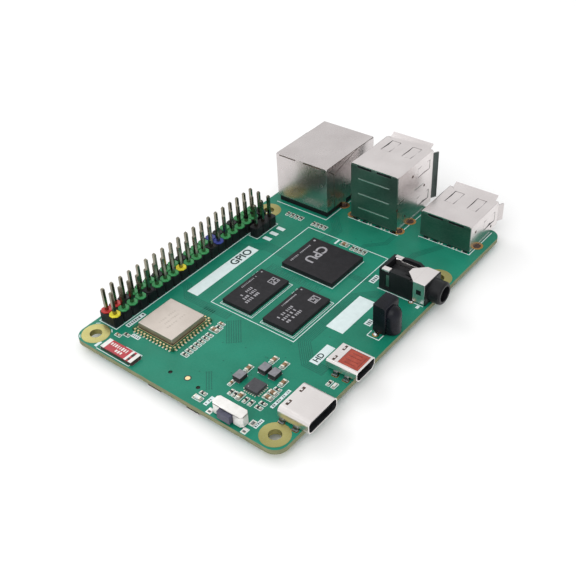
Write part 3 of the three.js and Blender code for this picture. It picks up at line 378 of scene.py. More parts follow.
class Sculpt:
    """Closed shapes gathered into one mesh, in board millimetres."""

    def __init__(self, name):
        self.name = name
        self.points = []
        self.faces = []
        self.face_looks = []
        self.looks = []

    def add(self, points, faces, look):
        if look not in self.looks:
            self.looks.append(look)
        start = len(self.points)
        self.points += [tuple(p) for p in points]
        self.faces += [[start + i for i in face] for face in faces]
        self.face_looks += [self.looks.index(look)] * len(faces)

    def loft(self, rings, look, capped=True, place=upright, flip=False):
        """Joins equal rings of (u, v, w) points one after the other."""
        count = len(rings[0])
        points = [place(*p) for ring in rings for p in ring]
        faces = []
        for r in range(len(rings) - 1 if capped else len(rings)):
            a, b = r * count, ((r + 1) % len(rings)) * count
            for i in range(count):
                j = (i + 1) % count
                faces.append([a + i, a + j, b + j, b + i])
        if capped:
            faces.append(list(reversed(range(count))))
            faces.append([(len(rings) - 1) * count + i for i in range(count)])
        if flip:
            faces = [list(reversed(face)) for face in faces]
        self.add(points, faces, look)

    def prism(self, outline, z0, z1, look, bevel=0, place=upright, flip=False, foot=0):
        """An outline raised from z0 to z1; its top and bottom edges are rounded by bevel and foot."""
        quarter = [math.pi / 4 * k for k in range(3)]
        bottom, top = [(0, z0)], [(0, z1)]
        if foot:
            bottom = [(foot * (1 - math.sin(a)), z0 + foot * (1 - math.cos(a))) for a in quarter]
        if bevel:
            top = [(bevel * (1 - math.cos(a)), z1 - bevel * (1 - math.sin(a))) for a in quarter]
        rings = [level(inset(outline, distance), z) for distance, z in bottom + top]
        self.loft(rings, look, place=place, flip=flip)

    def box(self, x, y, length, width, z0, z1, look, bevel=0):
        self.prism(slab_outline(x, y, length, width), z0, z1, look, bevel)

    def border(self, outline, thickness, z0, z1, look):
        """A closed line inside an outline."""
        inner = inset(outline, thickness)
        rings = ((outline, z0), (outline, z1), (inner, z1), (inner, z0))
        self.loft([level(ring, z) for ring, z in rings], look, capped=False)

    def ring(self, x, y, outer, inner, z0, z1, look):
        self.border(circle(x, y, outer), outer - inner, z0, z1, look)

    def line(self, path, thickness, z0, z1, look):
        """An open line of this width along a path, with square ends."""
        outline = shifted(path, -thickness / 2) + shifted(path, thickness / 2)[::-1]
        self.prism(outline, z0, z1, look)

    def lathe(self, x, y, profile, look, segments=16):
        """A profile of (radius, z) points, from the bottom up, turned about an upright axis."""
        self.loft([level(circle(x, y, radius, segments), z) for radius, z in profile], look)

    def text(self, words, size, x, y, z0, z1, look, turn=0, mirrored=False):
        """Flat letters centred on a point, mirrored to read from below."""
        curve = bpy.data.curves.new("letters", "FONT")
        curve.body = words
        curve.size = size
        curve.extrude = (z1 - z0) / 2
        curve.offset = size * STROKE
        curve.resolution_u = 3
        curve.align_x = "CENTER"
        curve.align_y = "CENTER"
        source = bpy.data.objects.new("letters", curve)
        bpy.context.scene.collection.objects.link(source)
        bpy.context.view_layer.update()
        mesh = bpy.data.meshes.new_from_object(source.evaluated_get(bpy.context.evaluated_depsgraph_get()))
        joined = bmesh.new()
        joined.from_mesh(mesh)
        bmesh.ops.remove_doubles(joined, verts=joined.verts, dist=size * 1e-4)
        joined.to_mesh(mesh)
        joined.free()
        spin = Matrix.Translation((x, y, (z0 + z1) / 2)) @ Matrix.Rotation(turn, 4, "Z")
        side = -1 if mirrored else 1
        points = [spin @ Vector((side * v.co.x, v.co.y, v.co.z)) for v in mesh.vertices]
        self.add(points, [list(p.vertices)[::side] for p in mesh.polygons], look)
        bpy.data.objects.remove(source)
        bpy.data.curves.remove(curve)
        bpy.data.meshes.remove(mesh)

    def finish(self, body="board", smooth_angle=32):
        """Writes the mesh into the frame as one piece, which rides on a body if one is given."""
        mesh = bpy.data.meshes.new(self.name)
        mesh.from_pydata([ORIGIN + Vector(p) * MM for p in self.points], [], self.faces)
        for look in self.looks:
            mesh.materials.append(look)
        mesh.polygons.foreach_set("material_index", self.face_looks)
        mesh.validate()
        mesh.shade_smooth()
        mesh.set_sharp_from_angle(angle=math.radians(smooth_angle))
        piece = bpy.data.objects.new(self.name, mesh)
        modify(piece, "face_normals", "WEIGHTED_NORMAL", keep_sharp=True)
        bpy.context.scene.collection.objects.link(piece)
        if body:
            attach(piece, body)
        return piece


def modify(target, name, kind, **settings):
    """Adds a modifier with these settings."""
    modifier = target.modifiers.new(name, kind)
    for setting, value in settings.items():
        setattr(modifier, setting, value)


# ---- CAD nodes

WELD_GAP = 1e-6  # metres
LIP = 1  # how far in from its mouth a USB shell's flared lips still catch the light
LIP_FLARE = 0.75  # how far the lips stand out past the walls

# CAD nodes with one look all over: [look, radius of their edges, nodes]
PLAIN_NODES = [
    [CHIP, 0.06, "soc ram_1 ram_2"],
    [POWER_CHIP, 0.06, "power_ic"],
    [MODULE_MASK, 0, "wifi_module_board"],
    [CAN, 0.14, "wifi_module_shield"],
    [BROWN, 0.05, "antenna"],
    [BLACK, 0, "ethernet_housing hdmi_insulator usb_c_insulator sd_socket_base"],
    [BLACK, 0.05, "usb_single_insulator usb_dual_insulator audio_jack_housing button_base sd_slider"],
    [BLACK, 0.1, "ethernet_magnetics"],
    [PIN_GOLD, 0, "ethernet_contact_insert sd_contacts"],
    [CLEAR, 0.05, "ethernet_light_pipe_left ethernet_light_pipe_right"],
    [SHELL_Y, 0, "button_dome"],
    [SHELL_Y, 0.04, "audio_contact_left audio_contact_right"],
    [SHELL_Y, 0.05, "audio_sleeve_plate"],
    [SHELL, 0.03, "sd_socket_cover"],
    [TIN, 0, "ir_lead_1 ir_lead_2 ir_lead_3 sd_spring"],
    [AMBER, 0.03, "hdmi_window"],
    [SLATE, 0.12, "button_plunger"],
]


def dress(node, looks, bevel=0, choose=None):
    """Gives a CAD node its materials, chosen face by face, and softens its edges."""
    target = NODES[node]
    target.data.materials.clear()
    for look in looks:
        target.data.materials.append(look)
    if choose:
        for polygon in target.data.polygons:
            polygon.material_index = choose(to_board(polygon.center), polygon.normal)
    modify(target, "weld", "WELD", merge_threshold=WELD_GAP)
    if bevel:
        edges = {"limit_method": "ANGLE", "angle_limit": math.radians(40), "use_clamp_overlap": False}
        modify(target, "soft_edges", "BEVEL", width=bevel * MM, segments=2, **edges)
        target.data.shade_smooth()
        modify(target, "face_normals", "WEIGHTED_NORMAL", keep_sharp=True)


def roll_edges(node, radius):
    """Rounds the two long edges of a shell's roof, where its sheet is folded down into the walls."""
    target = NODES[node]
    mesh = target.data
    places = [to_board(vertex.co) for vertex in mesh.vertices]
    back = min(place.x for place in places)
    rim = [place for place in places if place.x < back + 2 * NEAR]
    roof = max(place.z for place in rim)
    walls = (min(place.y for place in rim), max(place.y for place in rim))
    at_fold = [abs(p.z - roof) < NEAR and min(abs(p.y - wall) for wall in walls) < NEAR for p in places]
    weights = mesh.attributes.new("bevel_weight_edge", "FLOAT", "EDGE")
    for edge in mesh.edges:
        a, b = edge.vertices
        along = at_fold[a] and at_fold[b] and abs(places[a].y - places[b].y) < NEAR
        weights.data[edge.index].value = 1 if along else 0
    modify(target, "weld_first", "WELD", merge_threshold=WELD_GAP)
    edges = {"limit_method": "WEIGHT", "use_clamp_overlap": False}
    modify(target, "rolled_edges", "BEVEL", width=radius * MM, segments=4, **edges)


def pcb_face(centre, normal):
    """Mask, cut edge, gold pad, plated hole or label, by where a face of the board is."""
    flat = abs(normal.z) > 0.5
    if centre.z > PAD_RISE / 2 or centre.z < UNDERSIDE - PAD_RISE * 0.8:
        return 2
    if flat and centre.z < UNDERSIDE - PAD_RISE * 0.4:
        return 4
    if flat:
        return 0
    at_edge = min(centre.x, LENGTH - centre.x, centre.y, WIDTH - centre.y) < 0.9
    return 1 if at_edge else 3


def header_face(centre, normal):
    """The moulding is black and the pins above and below it are gold."""
    return 0 if 0 < centre.z < PITCH + 0.06 else 1


def ferrite_face(centre, normal):
    """The top is paler than the sides."""
    return 0 if normal.z > 0.7 else 1


def ethernet_face(centre, normal):
    """Seam grooves and the slits under the roof are in shade; the rest is bright sheet."""
    shield = Span("ethernet_shield")
    wall_depth = min(centre.y - shield.y0, shield.y1 - centre.y)
    in_groove = 0.03 < wall_depth < 0.16 and shield.x0 + 0.1 < centre.x < shield.x1 - 0.5
    in_slit = 0.02 < centre.x - shield.x0 < 0.14 and shield.z1 - 0.6 < centre.z < shield.z1 - 0.1
    return 1 if in_groove or in_slit else 0


def usb_face(node):
    """The flared lips' cut edges show brass; the lips beside the mouth and the inside are in shade."""
    shell = Span(node)
    middle_z = shell.z1 / 2

    def choose(centre, normal):
        if normal.x > 0.9 and centre.x > shell.x1 - 0.1:
            return 1
        outwards = (centre.y - shell.y) * normal.y + (centre.z - middle_z) * normal.z
        if outwards < -0.5 and abs(centre.z - middle_z) < middle_z and centre.x < shell.x1 - LIP:
            return 3
        beside = min(centre.y - shell.y0, shell.y1 - centre.y) < 0.7
        return 2 if beside and abs(normal.y) > 0.5 else 0

    return choose


def small_shell_face(node):
    """The inside of a small connector's shell is in shade."""
    shell = Span(node)
    middle_z = (shell.z1 + 0.3) / 2

    def choose(centre, normal):
        outwards = (centre.x - shell.x) * normal.x + (centre.z - middle_z) * normal.z
        return 1 if outwards < -0.3 and centre.z > 0.2 else 0

    return choose


def rib_face(centre, normal):
    """The back-facing faces of the pressed ribs on the stacked ports' back plate get a painted highlight, a
    brighter metal than its flat.
    """
    return 1 if centre.x < Span("usb_dual_back_plate").x0 + 0.1 and normal.x < -0.5 else 0


def dress_frame():
    for look, bevel, nodes in PLAIN_NODES:
        for node in nodes.split():
            dress(node, [look], bevel)
    dress("pcb", [MASK, EDGE, PAD_GOLD, PAD_GOLD, SILK], 0, pcb_face)
    for node in ("inductor_1", "inductor_2", "inductor_3"):
        dress(node, [FERRITE, FERRITE_DARK], 0.08, ferrite_face)
    for node in ("gpio_header", "debug_header"):
        dress(node, [BLACK, PIN_GOLD], 0, header_face)
    for name, lip, plate_face in (("usb_single", SHELL, None), ("usb_dual", LIP_SHADE, rib_face)):
        shell = f"{name}_shell"
        roll_edges(shell, 0.35)
        dress(shell, [SHELL_USB, BRASS_EDGE, lip, INNER], 0.04, usb_face(shell))
        dress(f"{name}_back_plate", [BACK_PLATE, HIGHLIGHT_SHEET], 0.03, plate_face)
    roll_edges("ethernet_shield", 0.3)
    dress("ethernet_shield", [SHELL, SEAM], 0.05, ethernet_face)
    for node in ("hdmi_shell", "usb_c_shell"):
        dress(node, [SHELL_Y, INNER], 0.05, small_shell_face(node))


# ---- soldered leads

USB_WIDTH = 13.1
# A cone of solder from its tip: (share of its reach, share of its rise)
CONE = ((0.3, 1), (0.42, 0.72), (0.66, 0.36), (0.97, 0.14), (1, 0))


def header_pins(node, rows):
    """The places of a pin header's pins, from its moulding."""
    header = Span(node)
    columns = round((header.x1 - header.x0) / PITCH)
    first_y = header.y - PITCH * (rows - 1) / 2
    cells = [(i, j) for i in range(columns) for j in range(rows)]
    return [(header.x0 + PITCH * (i + 0.5), first_y + PITCH * j) for i, j in cells]


def usb_leads(node, rows, leg_steps):
    """A USB receptacle's tails and legs, from its shell: its mouth is at +X."""
    shell = Span(node)
    steps = [(1.6 + 2.6 * row, across) for row in range(rows) for across in (-3.5, -1, 1, 3.5)]
    tails = [(shell.x0 + back, shell.y + across) for back, across in steps]
    legs = [(shell.x1 - step, shell.y + side * USB_WIDTH / 2) for step in leg_steps for side in (-1, 1)]
    return tails, legs


def ethernet_leads():
    """The Ethernet jack's two staggered rows of tails, and the legs of its shield."""
    shield = Span("ethernet_shield")
    tails = [(shield.x0 + 3.6 + PITCH * (i % 2), shield.y + PITCH / 2 * (i - 4.5)) for i in range(10)]
    return tails, [(shield.x0 + 7.1, shield.y0), (shield.x0 + 7.1, shield.y1)]


def soldered_lead(joints, x, y, land, reach, rise, segments=20):
    """A land on the underside, and the cone of solder that runs from it down a lead."""
    joints.lathe(x, y, [(land, UNDERSIDE - LAND), (land, UNDERSIDE - LIFT)], PAD_GOLD, segments)
    joints.lathe(x, y, [(reach * r, UNDERSIDE - LAND - rise * h) for r, h in CONE], SOLDER, 14)


def top_land(sculpt, x, y, radius, look, segments=20):
    """A round land on the top face."""
    sculpt.prism(circle(x, y, radius, segments), LIFT, LAND, look)


def build_solder_joints():
    """Joints under every lead, and on top those of the shells' legs and of the infrared receiver."""
    joints = Sculpt("solder_joints")
    large = [
        usb_leads("usb_single_shell", 1, (10.8,)),
        usb_leads("usb_dual_shell", 2, (16, 10.9)),
        ethernet_leads(),
    ]
    leads = [Span(f"ir_lead_{i}") for i in (1, 2, 3)]
    small = header_pins("gpio_header", 2) + header_pins("debug_header", 1)
    for tails, _ in large:
        small += tails
    for x, y in small + [(lead.x, lead.y) for lead in leads]:
        soldered_lead(joints, x, y, 0.92, 0.8, 1.1)
    for _, legs in large:
        for x, y in legs:
            soldered_lead(joints, x, y, 1.65, 1.4, 0.8, 24)
            joints.ring(x, y, 1.5, 1, LIFT, LAND, RING_GOLD)
            # Painted shade: a dark plug inside each leg's copper ring, where the hole lies in shade.
            joints.lathe(x, y, [(1.02, LIFT), (1.02, LAND * 0.5), (0.6, LAND * 1.5)], RECESS_SHADE, 24)
    for node, steps in (("hdmi_shell", (2.4, 5)), ("usb_c_shell", (3, 6.3))):
        shell = Span(node)
        for out, x in ((-1, shell.x0 + 0.13), (1, shell.x1 - 0.13)):
            for y in [shell.y0 + step for step in steps]:
                soldered_lead(joints, x, y, 0.85, 0.72, 0.45)
                foot = rounded(slab_outline(x + 0.3 * out, y, 1.1, 1.5), 0.4)
                joints.prism(foot, LIFT, LAND, RING_GOLD)
                joints.prism(inset(foot, 0.1), LAND, 0.32, DARK_SOLDER, 0.22)
                joints.box(x + 0.16 * out, y, 0.34, 1, 0.2, 0.95, DARK_SOLDER, 0.12)
    for lead in leads:
        top_land(joints, lead.x, lead.y, 0.8, PAD_GOLD, 18)
    receiver = Span("ir_receiver")
    y = receiver.y1 - 1.15
    for x in (receiver.x0 - 0.45, receiver.x1 + 0.45):
        top_land(joints, x, y, 0.75, RING_GOLD)
        joints.lathe(x, y, [(0.55, LAND), (0.52, 0.22), (0.3, 0.45), (0.1, 0.52)], SOLDER)
    joints.finish()


# ---- small surface parts

CHIP_SIZES = {"0402": (1, 0.5, 0.36), "0603": (1.6, 0.8, 0.5)}

# Chip parts on the top side: (x, y, size, look, direction)
TOP_PARTS = [
    (9, 19.05, "0402", TAN, "x"),
    (14.1, 18.95, "0603", TAN, "x"),
    (19, 16.35, "0603", TAN, "x"),
    (19, 13.65, "0603", TAN, "x"),
    (7.1, 17.4, "0402", RESISTOR, "x"),
    (7.1, 16.35, "0402", RESISTOR, "x"),
    (7.25, 15.2, "0603", TAN, "x"),
    (7.1, 13.65, "0402", RESISTOR, "x"),
    (7.1, 12.3, "0402", RESISTOR, "x"),
    (7, 10.35, "0402", RESISTOR, "y"),
    (8.3, 10.35, "0402", RESISTOR, "y"),
    (10.1, 10.6, "0603", TAN, "y"),
    (11.6, 10.6, "0603", TAN, "y"),
    (12.9, 10.5, "0402", RESISTOR, "y"),
    (14.9, 10.7, "0603", TAN, "x"),
    (2.1, 21.6, "0603", WHITE_CERAMIC, "y"),
    (3.65, 21.6, "0402", RESISTOR, "y"),
    (20.2, 3.35, "0402", RESISTOR, "x"),
    (20.2, 2.1, "0402", WHITE_CERAMIC, "x"),
    (18.95, 32.5, "0603", TAN, "y"),
    (21.3, 32.6, "0402", TAN, "y"),
    (60, 28.1, "0603", TAN, "y"),
    (5.9, 48.2, "0402", TAN, "y"),
    (7, 46.7, "0402", RESISTOR, "y"),
]
# Rows of equal resistors: (first x, first y, step x, step y, count, direction)
RESISTOR_ROWS = [
    (9.7, 32.3, 1.24, 0, 7, "y"),
    (20.1, 32.3, 1, 0, 1, "y"),
    (63, 43.4, 0, 1.35, 4, "x"),
    (63, 36.1, 0, 1.12, 4, "x"),
    (59.9, 22.4, 0, 1.1, 4, "x"),
]


def chip_part(sculpt, x, y, size, body, along, side=1):
    """A ceramic chip between two tinned ends, each with a fillet of solder; side is -1 underneath."""
    length, width, height = CHIP_SIZES[size]
    base = LAND if side > 0 else UNDERSIDE - LAND
    cap = length * 0.24

    def put(step, long, wide, low, high, look, bevel=0):
        place = (x + step, y, long, wide) if along == "x" else (x, y + step, wide, long)
        z0, z1 = sorted((base + side * low, base + side * high))
        sculpt.box(*place, z0, z1, look, bevel if side > 0 else 0)

    put(0, length - 2 * cap, width * 0.94, 0.02, height * 0.96, body, 0.02)
    for end in (-1, 1):
        put(end * (length - cap) / 2, cap, width, 0, height, TIN, 0.03)
        put(end * (length / 2 + 0.1), 0.24, width * 0.9, 0, height * 0.45, SOLDER, 0.05)
        put(end * (length / 2 + 0.02), 0.5, width * 1.12, -LAND, 0, PAD_GOLD)


def build_surface_parts():
    """The chip capacitors and resistors of the top side, and the printed boxes round them."""
    parts = Sculpt("surface_chips")
    boxes = Sculpt("part_outlines")

    def place_part(x, y, size, body, along, box):
        chip_part(parts, x, y, size, body, along)
        boxes.border(rounded(slab_outline(x, y, *box), 0.12, 1), 0.16, *PRINT)

    for x, y, size, body, along in TOP_PARTS:
        length, width, _ = CHIP_SIZES[size]
        box = (length + 0.75, width + 0.5)
        place_part(x, y, size, body, along, box if along == "x" else box[::-1])
    for x, y, step_x, step_y, count, along in RESISTOR_ROWS:
        box = (1.75, 0.98) if along == "x" else (1.02, 1.9)
        for i in range(count):
            place_part(x + step_x * i, y + step_y * i, "0402", RESISTOR, along, box)
    parts.finish()
    boxes.finish()


# ---- print

HOLE_X, HOLE_Y = 3.5, 52.5  # the mounting hole with printed arcs round it
# White lines: (thickness, path)
PRINT_LINES = [
    (0.2, [(66.1, 53.5), (66.1, 38), (84.8, 38)]),
    (0.2, [(70.3, 34.4), (70.3, 20), (84, 20)]),
    (0.2, [(73, 15.8), (73, 2.2), (84, 2.2)]),
    (0.2, [(50.75, 12.6), (50.75, 0.9)]),
    (0.2, [(36.2, 5.5), (36.2, 2.6), (38, 2.6)]),
    (0.2, [(36.2, 5.5), (38, 5.5)]),
    (0.18, [(0.45, 49), (0.45, 39.3)]),
    (0.18, [(0.45, 39.3), (4.3, 39.3), (4.3, 44)]),
]
# White labels: (x, y, length, width)
LABELS = [
    (36.05, 45.05, 21.3, 3.1),
    (39.85, 11.95, 12.5, 4.3),
    (26, 9.4, 6.2, 2.1),
    (53, 14.8, 3, 1.4),
    (39.8, 7.3, 2, 1.6),
    (11.3, 8.4, 5.8, 0.75),
    (3.8, 7.7, 2.5, 0.85),
    (2.8, 19.3, 2.6, 0.9),
    (11.6, 48.75, 5.2, 1.2),
    (7.7, 44.7, 1, 2.3),
    (1.5, 49.6, 1.7, 0.7),
    (50, 1.8, 1, 0.7),
    (60, 30.3, 1.9, 0.5),
]
# Dark small print on the labels: (x, y, length, width, strokes, seed, upright)
SMALL_PRINT = [
    (11.3, 8.4, 5.2, 0.45, 12, 5, False),
    (3.8, 7.7, 2.1, 0.5, 5, 6, False),
    (2.8, 19.3, 2.2, 0.5, 5, 7, False),
    (11.6, 48.75, 4.8, 0.75, 9, 8, False),
    (7.7, 44.7, 2, 0.6, 4, 9, True),
    (39.8, 7.3, 1.6, 0.9, 3, 10, False),
    (53, 14.8, 2.5, 0.8, 4, 11, False),
]


def bars(sculpt, x, y, length, width, count, z0, z1, look, seed, turn=False):
    """Rows of short strokes in place of small print."""
    draw = random.Random(seed)
    step = length / count
    for i in range(count):
        if draw.random() < 0.14:
            continue
        stroke = step * draw.uniform(0.35, 0.7)
        tall = width * draw.uniform(0.75, 1)
        u = -length / 2 + step * (i + 0.5)
        place = (x, y + u, tall, stroke) if turn else (x + u, y, stroke, tall)
        sculpt.box(*place, z0, z1, look)


def build_print():
    """The white print with its frames, labels and outlines, and the dark words on it."""
    ink = Sculpt("white_print_lines")
    ink.border(rectangle(25.6, 61.2, 16.5, 39.7), 0.18, *PRINT)
    for node in ("ram_1", "ram_2"):
        chip = Span(node)
        outline = rectangle(chip.x0 - 0.6, chip.x1 + 0.35, chip.y0 - 0.85, chip.y1 + 0.35)
        ink.border(outline, 0.14, *PRINT)
        ink.line(chip.corner(0.22, 0.4), 0.1, *PRINT)
        bars(ink, chip.x1 - 1.2, chip.y1 + 0.75, 2.2, 0.5, 5, *PRINT, 3)
    ink.line(Span("soc").corner(0.2, 0.25), 0.18, *PRINT)
    ink.border(Span("gpio_header").around(0.25, 0.28), 0.2, *PRINT)
    ink.border(Span("debug_header").around(0.2, 0.25), 0.15, *PRINT)
    for x, y in ((51.6, 44.9), (54.15, 44.9), (56.7, 44.8)):
        ink.box(x, y, 1.15, 2.2, *PRINT)
    for thickness, path in PRINT_LINES:
        ink.line(path, thickness, *PRINT)
    for label in LABELS:
        ink.box(*label, *PRINT)
    for degrees in (40, 140, 320):
        turns = [math.radians(degrees) + step for step in (-0.15, 0, 0.15)]
        arc = [(HOLE_X + 3.4 * math.cos(a), HOLE_Y + 3.4 * math.sin(a)) for a in turns]
        ink.line(arc, 0.18, *PRINT)
    ink.finish()

    words = Sculpt("dark_print_words")
    words.text("GPIO", 2.9, 42.2, 45.05, *OVERPRINT)
    words.text("HD", 1.9, 24.9, 9.4, *OVERPRINT)
    for *row, seed, turn in SMALL_PRINT:
        bars(words, *row, *OVERPRINT, seed, turn)
    words.finish()


# ---- tracks and lands

# Bundles of parallel tracks: (path, count, pitch)
BUNDLES = [
    ([(18.4, 26.6), (23.6, 31.2)], 7, 0.5),
    ([(5.2, 21.5), (8.8, 24.8)], 3, 0.5),
    ([(22.4, 6), (22.4, 10.4), (27.2, 15), (34, 15)], 7, 0.42),
    ([(34, 15.2), (45, 15.2), (48.6, 11.6), (48.6, 8.4)], 6, 0.42),
    ([(45, 49.6), (45, 47.4), (49, 43.2), (49, 36)], 8, 0.4),
    ([(27, 49.6), (27, 48), (24, 45), (24, 33)], 5, 0.42),
    ([(57.6, 24), (62.4, 24), (66, 20.4), (71, 20.4)], 3, 0.45),
    ([(57.6, 33), (64, 33), (68, 37), (68, 44)], 6, 0.42),
    ([(51, 20.4), (51, 17), (56, 12.4), (66, 12.4), (72.2, 9)], 4, 0.45),
    ([(21, 38), (24, 38)], 5, 0.6),
]
UNDER_BUNDLES = [
    ([(16, 44), (28, 44), (36, 36), (44, 36)], 6, 0.45),
    ([(58, 25), (66, 25), (70, 29), (70, 38)], 5, 0.45),
    ([(56, 20), (60, 16), (60, 10), (70, 10)], 4, 0.45),
    ([(26, 12), (26, 15), (40, 15), (46, 20)], 5, 0.42),
    ([(17, 22), (22, 22), (25, 25), (25, 33)], 4, 0.45),
    ([(48, 48.5), (48, 44), (52, 40), (52, 36.5)], 7, 0.42),
]
# Short tracks side by side, most with a step in the middle that makes them equally long
MATCHED = {"start": 41.7, "end": 44.6, "first": 22.4, "pitch": 0.55, "count": 28, "step": 0.22}


def lay_bundles(tracks, bundles, z0, z1):
    """Lays bundles of tracks and gives the ends of every track."""
    ends = []
    for path, count, pitch in bundles:
        for i in range(count):
            route = shifted(path, pitch * (i - (count - 1) / 2))
            tracks.line(route, pitch * 0.5, z0, z1, TRACK_MASK)
            ends += [route[0], route[-1]]
    return ends


def build_tracks():
    """Copper tracks that show through the mask, with vias at their ends and scattered over the board."""
    tracks = Sculpt("mask_over_tracks")
    span = (LIFT / 2, TRACK)
    vias = lay_bundles(tracks, BUNDLES, *span)
    x0, x1 = MATCHED["start"], MATCHED["end"]
    middle = (x0 + x1) / 2
    for i in range(MATCHED["count"]):
        y = MATCHED["first"] + MATCHED["pitch"] * i
        high = y + MATCHED["step"]
        bump = [(middle - 0.5, y), (middle - 0.3, high), (middle + 0.3, high), (middle + 0.5, y)]
        tracks.line([(x0, y)] + (bump if i % 3 else []) + [(x1, y)], 0.22, *span, TRACK_MASK)
    draw = random.Random(11)
    for _ in range(60):
        vias.append((draw.uniform(6, 66), draw.uniform(7, 49)))
    for x, y in vias:
        tracks.lathe(x, y, [(0.2, LIFT * 0.8), (0.18, TRACK * 1.5), (0.07, TRACK * 0.9)], TRACK_MASK, 12)
    tracks.finish()


def build_lands():
    """The gold test pad, and the lands of the power chip, the button, the inductors and the antenna."""
    lands = Sculpt("gold_lands")
    lands.ring(5, 27.05, 0.78, 0.55, LIFT / 2, TRACK, SILK_TEXT)
    top_land(lands, 5, 27.05, 0.52, BARE_GOLD, 24)
    chip = Span("power_ic")
    count = 6
    for i in range(count):
        t = (i + 0.5) / count
        for y in (chip.y0 - 0.16, chip.y1 + 0.16):
            lands.box(chip.x0 + (chip.x1 - chip.x0) * t, y, 0.26, 0.5, LIFT, 0.07, TIN, 0.03)
        for x in (chip.x0 - 0.16, chip.x1 + 0.16):
            lands.box(x, chip.y0 + (chip.y1 - chip.y0) * t, 0.5, 0.26, LIFT, 0.07, TIN, 0.03)
    for x, y in ((0.95, 17.35), (0.95, 8.65), (3.3, 8.65), (3.3, 17.35)):
        lands.box(x, y, 1.5, 1.25, LIFT * 0.8, INK, SILK)
        lands.box(x, y, 1.2, 0.95, INK, LAND + INK, TIN)
        lands.box(x, y, 0.8, 0.6, LAND + INK, 0.2, DARK_SOLDER, 0.06)
    for i in (1, 2, 3):
        coil = Span(f"inductor_{i}")
        for x in (coil.x0 - 0.05, coil.x1 + 0.05):
            lands.box(x, coil.y, 0.35, coil.y1 - coil.y0 - 0.1, LIFT, 0.12, SOLDER, 0.04)
    antenna = Span("antenna")
    for y in (antenna.y0, antenna.y1):
        lands.box(antenna.x, y, antenna.x1 - antenna.x0 - 0.2, 0.5, LIFT, 0.1, SOLDER, 0.04)
    lands.finish()


# ---- header collars

# The collars' colours along the front and back row of pins, by COLLARS' letters; k is black
COLLAR_ROWS = ("ygggkgggygggkbgggggk", "rrkgggkggkgggbkgkggg")


def build_collars():
    """The eight-sided tops of the header's cells, coloured by what each pin carries."""
    collars = Sculpt("gpio_header_collars")
    radius = PITCH / 2 / math.cos(math.pi / 8) * 0.93
    shrink = 0.34 / radius
    for i, (x, y) in enumerate(header_pins("gpio_header", 2)):
        look = COLLARS.get(COLLAR_ROWS[i % 2][i // 2], BLACK)
        outer = circle(x, y, radius, 8, math.pi / 8)
        inner = [(shrink * (u - x) + x, shrink * (v - y) + y) for u, v in outer]
        crest, slope = inset(outer, 0.1), inset(outer, 0.4)
        rises = ((outer, -0.02), (outer, 0.2), (crest, 0.3), (slope, 0.26), (inner, 0.16), (inner, -0.02))
        collars.loft([level(ring, PITCH + rise) for ring, rise in rises], look, capped=False)
    collars.finish()


# ---- marks on the chips


def build_marks():
    """Plain rows of strokes, dots and squares where the chips carry their makers' print."""
    marks = Sculpt("chip_marks")
    for k, node in enumerate(("ram_1", "ram_2")):
        chip = Span(node)
        top = (chip.z1, chip.z1 + MARK_RISE, MARK)
        marks.prism(circle(chip.x1 - 0.9, chip.y1 - 0.85, 0.22, 14), *top)
        bars(marks, chip.x0 + 8, chip.y1 - 0.9, 5.2, 0.42, 12, *top, 21 + k)
        for row in range(3):
            y = chip.y1 - 2.75 - 1.22 * row
            bars(marks, chip.x0 + 3, y, 2.5, 0.8, 4, *top, 31 + row + 7 * k)
            bars(marks, chip.x0 + 5.75, y, 2.2, 0.8, 4, *top, 51 + row + 7 * k)
        x, y = chip.x1 - 2, chip.y0 + 2.75
        marks.border(slab_outline(x, y, 2.2, 2.1), 0.2, *top)
        draw = random.Random(60 + k)
        for i in range(4):
            for j in range(4):
                if draw.random() < 0.55:
                    marks.box(x - 0.6 + 0.4 * i, y - 0.6 + 0.4 * j, 0.34, 0.34, *top)
    chip = Span("soc")
    top = (chip.z1, chip.z1 + MARK_RISE, MARK)
    marks.prism(circle(chip.x1 - 1, chip.y1 - 1, 0.3, 16), *top)
    bars(marks, chip.x0 + 5.4, chip.y1 - 1.3, 7.6, 0.5, 15, *top, 71)
    marks.text("CPU", 3.6, chip.x + 0.9, chip.y1 - 4.6, *top, math.pi)
    chip = Span("power_ic")
    marks.prism(circle(chip.x0 + 0.6, chip.y1 - 0.6, 0.14, 12), chip.z1, chip.z1 + 0.01, MARK)
    marks.finish()


# ---- wireless module and antenna

# The antenna's stripes: (start and end as shares of its length, look)
STRIPES = [
    (0, 0.12, GLAZE_WHITE),
    (0.12, 0.76, RED),
    (0.76, 0.83, GLAZE_WHITE),
    (0.83, 0.9, RED),
    (0.9, 1, GLAZE_WHITE),
]


def build_module():
    """The wireless module's castellated edge and solder dots, and its can's foot and engraving."""
    edge = Sculpt("wifi_module_edge")
    board = Span("wifi_module_board")
    count = 12
    step = (board.y1 - board.y0 - 1.6) / (count - 1)
    for i in range(count):
        x, y = board.x0 + 0.8 + step * i, board.y0 + 0.8 + step * i
        for px, py, out_x, out_y in ((board.x0, y, -1, 0), (x, board.y0, 0, -1), (board.x1, y, 1, 0)):
            pad, joint = ((0.36, 0.44), (0.42, 0.4)) if out_x else ((0.44, 0.36), (0.4, 0.42))
            edge.box(px - 0.17 * out_x, py - 0.17 * out_y, *pad, 0.02, board.z1 + 0.02, BARE_GOLD)
            edge.box(px + 0.2 * out_x, py + 0.2 * out_y, *joint, LIFT, 0.16, TIN, 0.08)
    can = Span("wifi_module_shield")
    # The first border is painted shade along the can's foot; the second is a gold border.
    for reach, thickness, look in ((0.12, 0.14, RECESS_SHADE), (0.3, 0.1, BARE_GOLD)):
        edge.border(can.around(reach, reach), thickness, board.z1, board.z1 + 0.03, look)
    edge.finish()

    engraving = Sculpt("wifi_can_engraving")
    for k, (dy, length) in enumerate(((1.2, 5.2), (-0.1, 4.4), (-1.4, 5.6))):
        bars(engraving, can.x, can.y + dy, length, 0.5, 9, can.z1, can.z1 + MARK_RISE, CAN_MARK, 80 + k)
    engraving.finish()


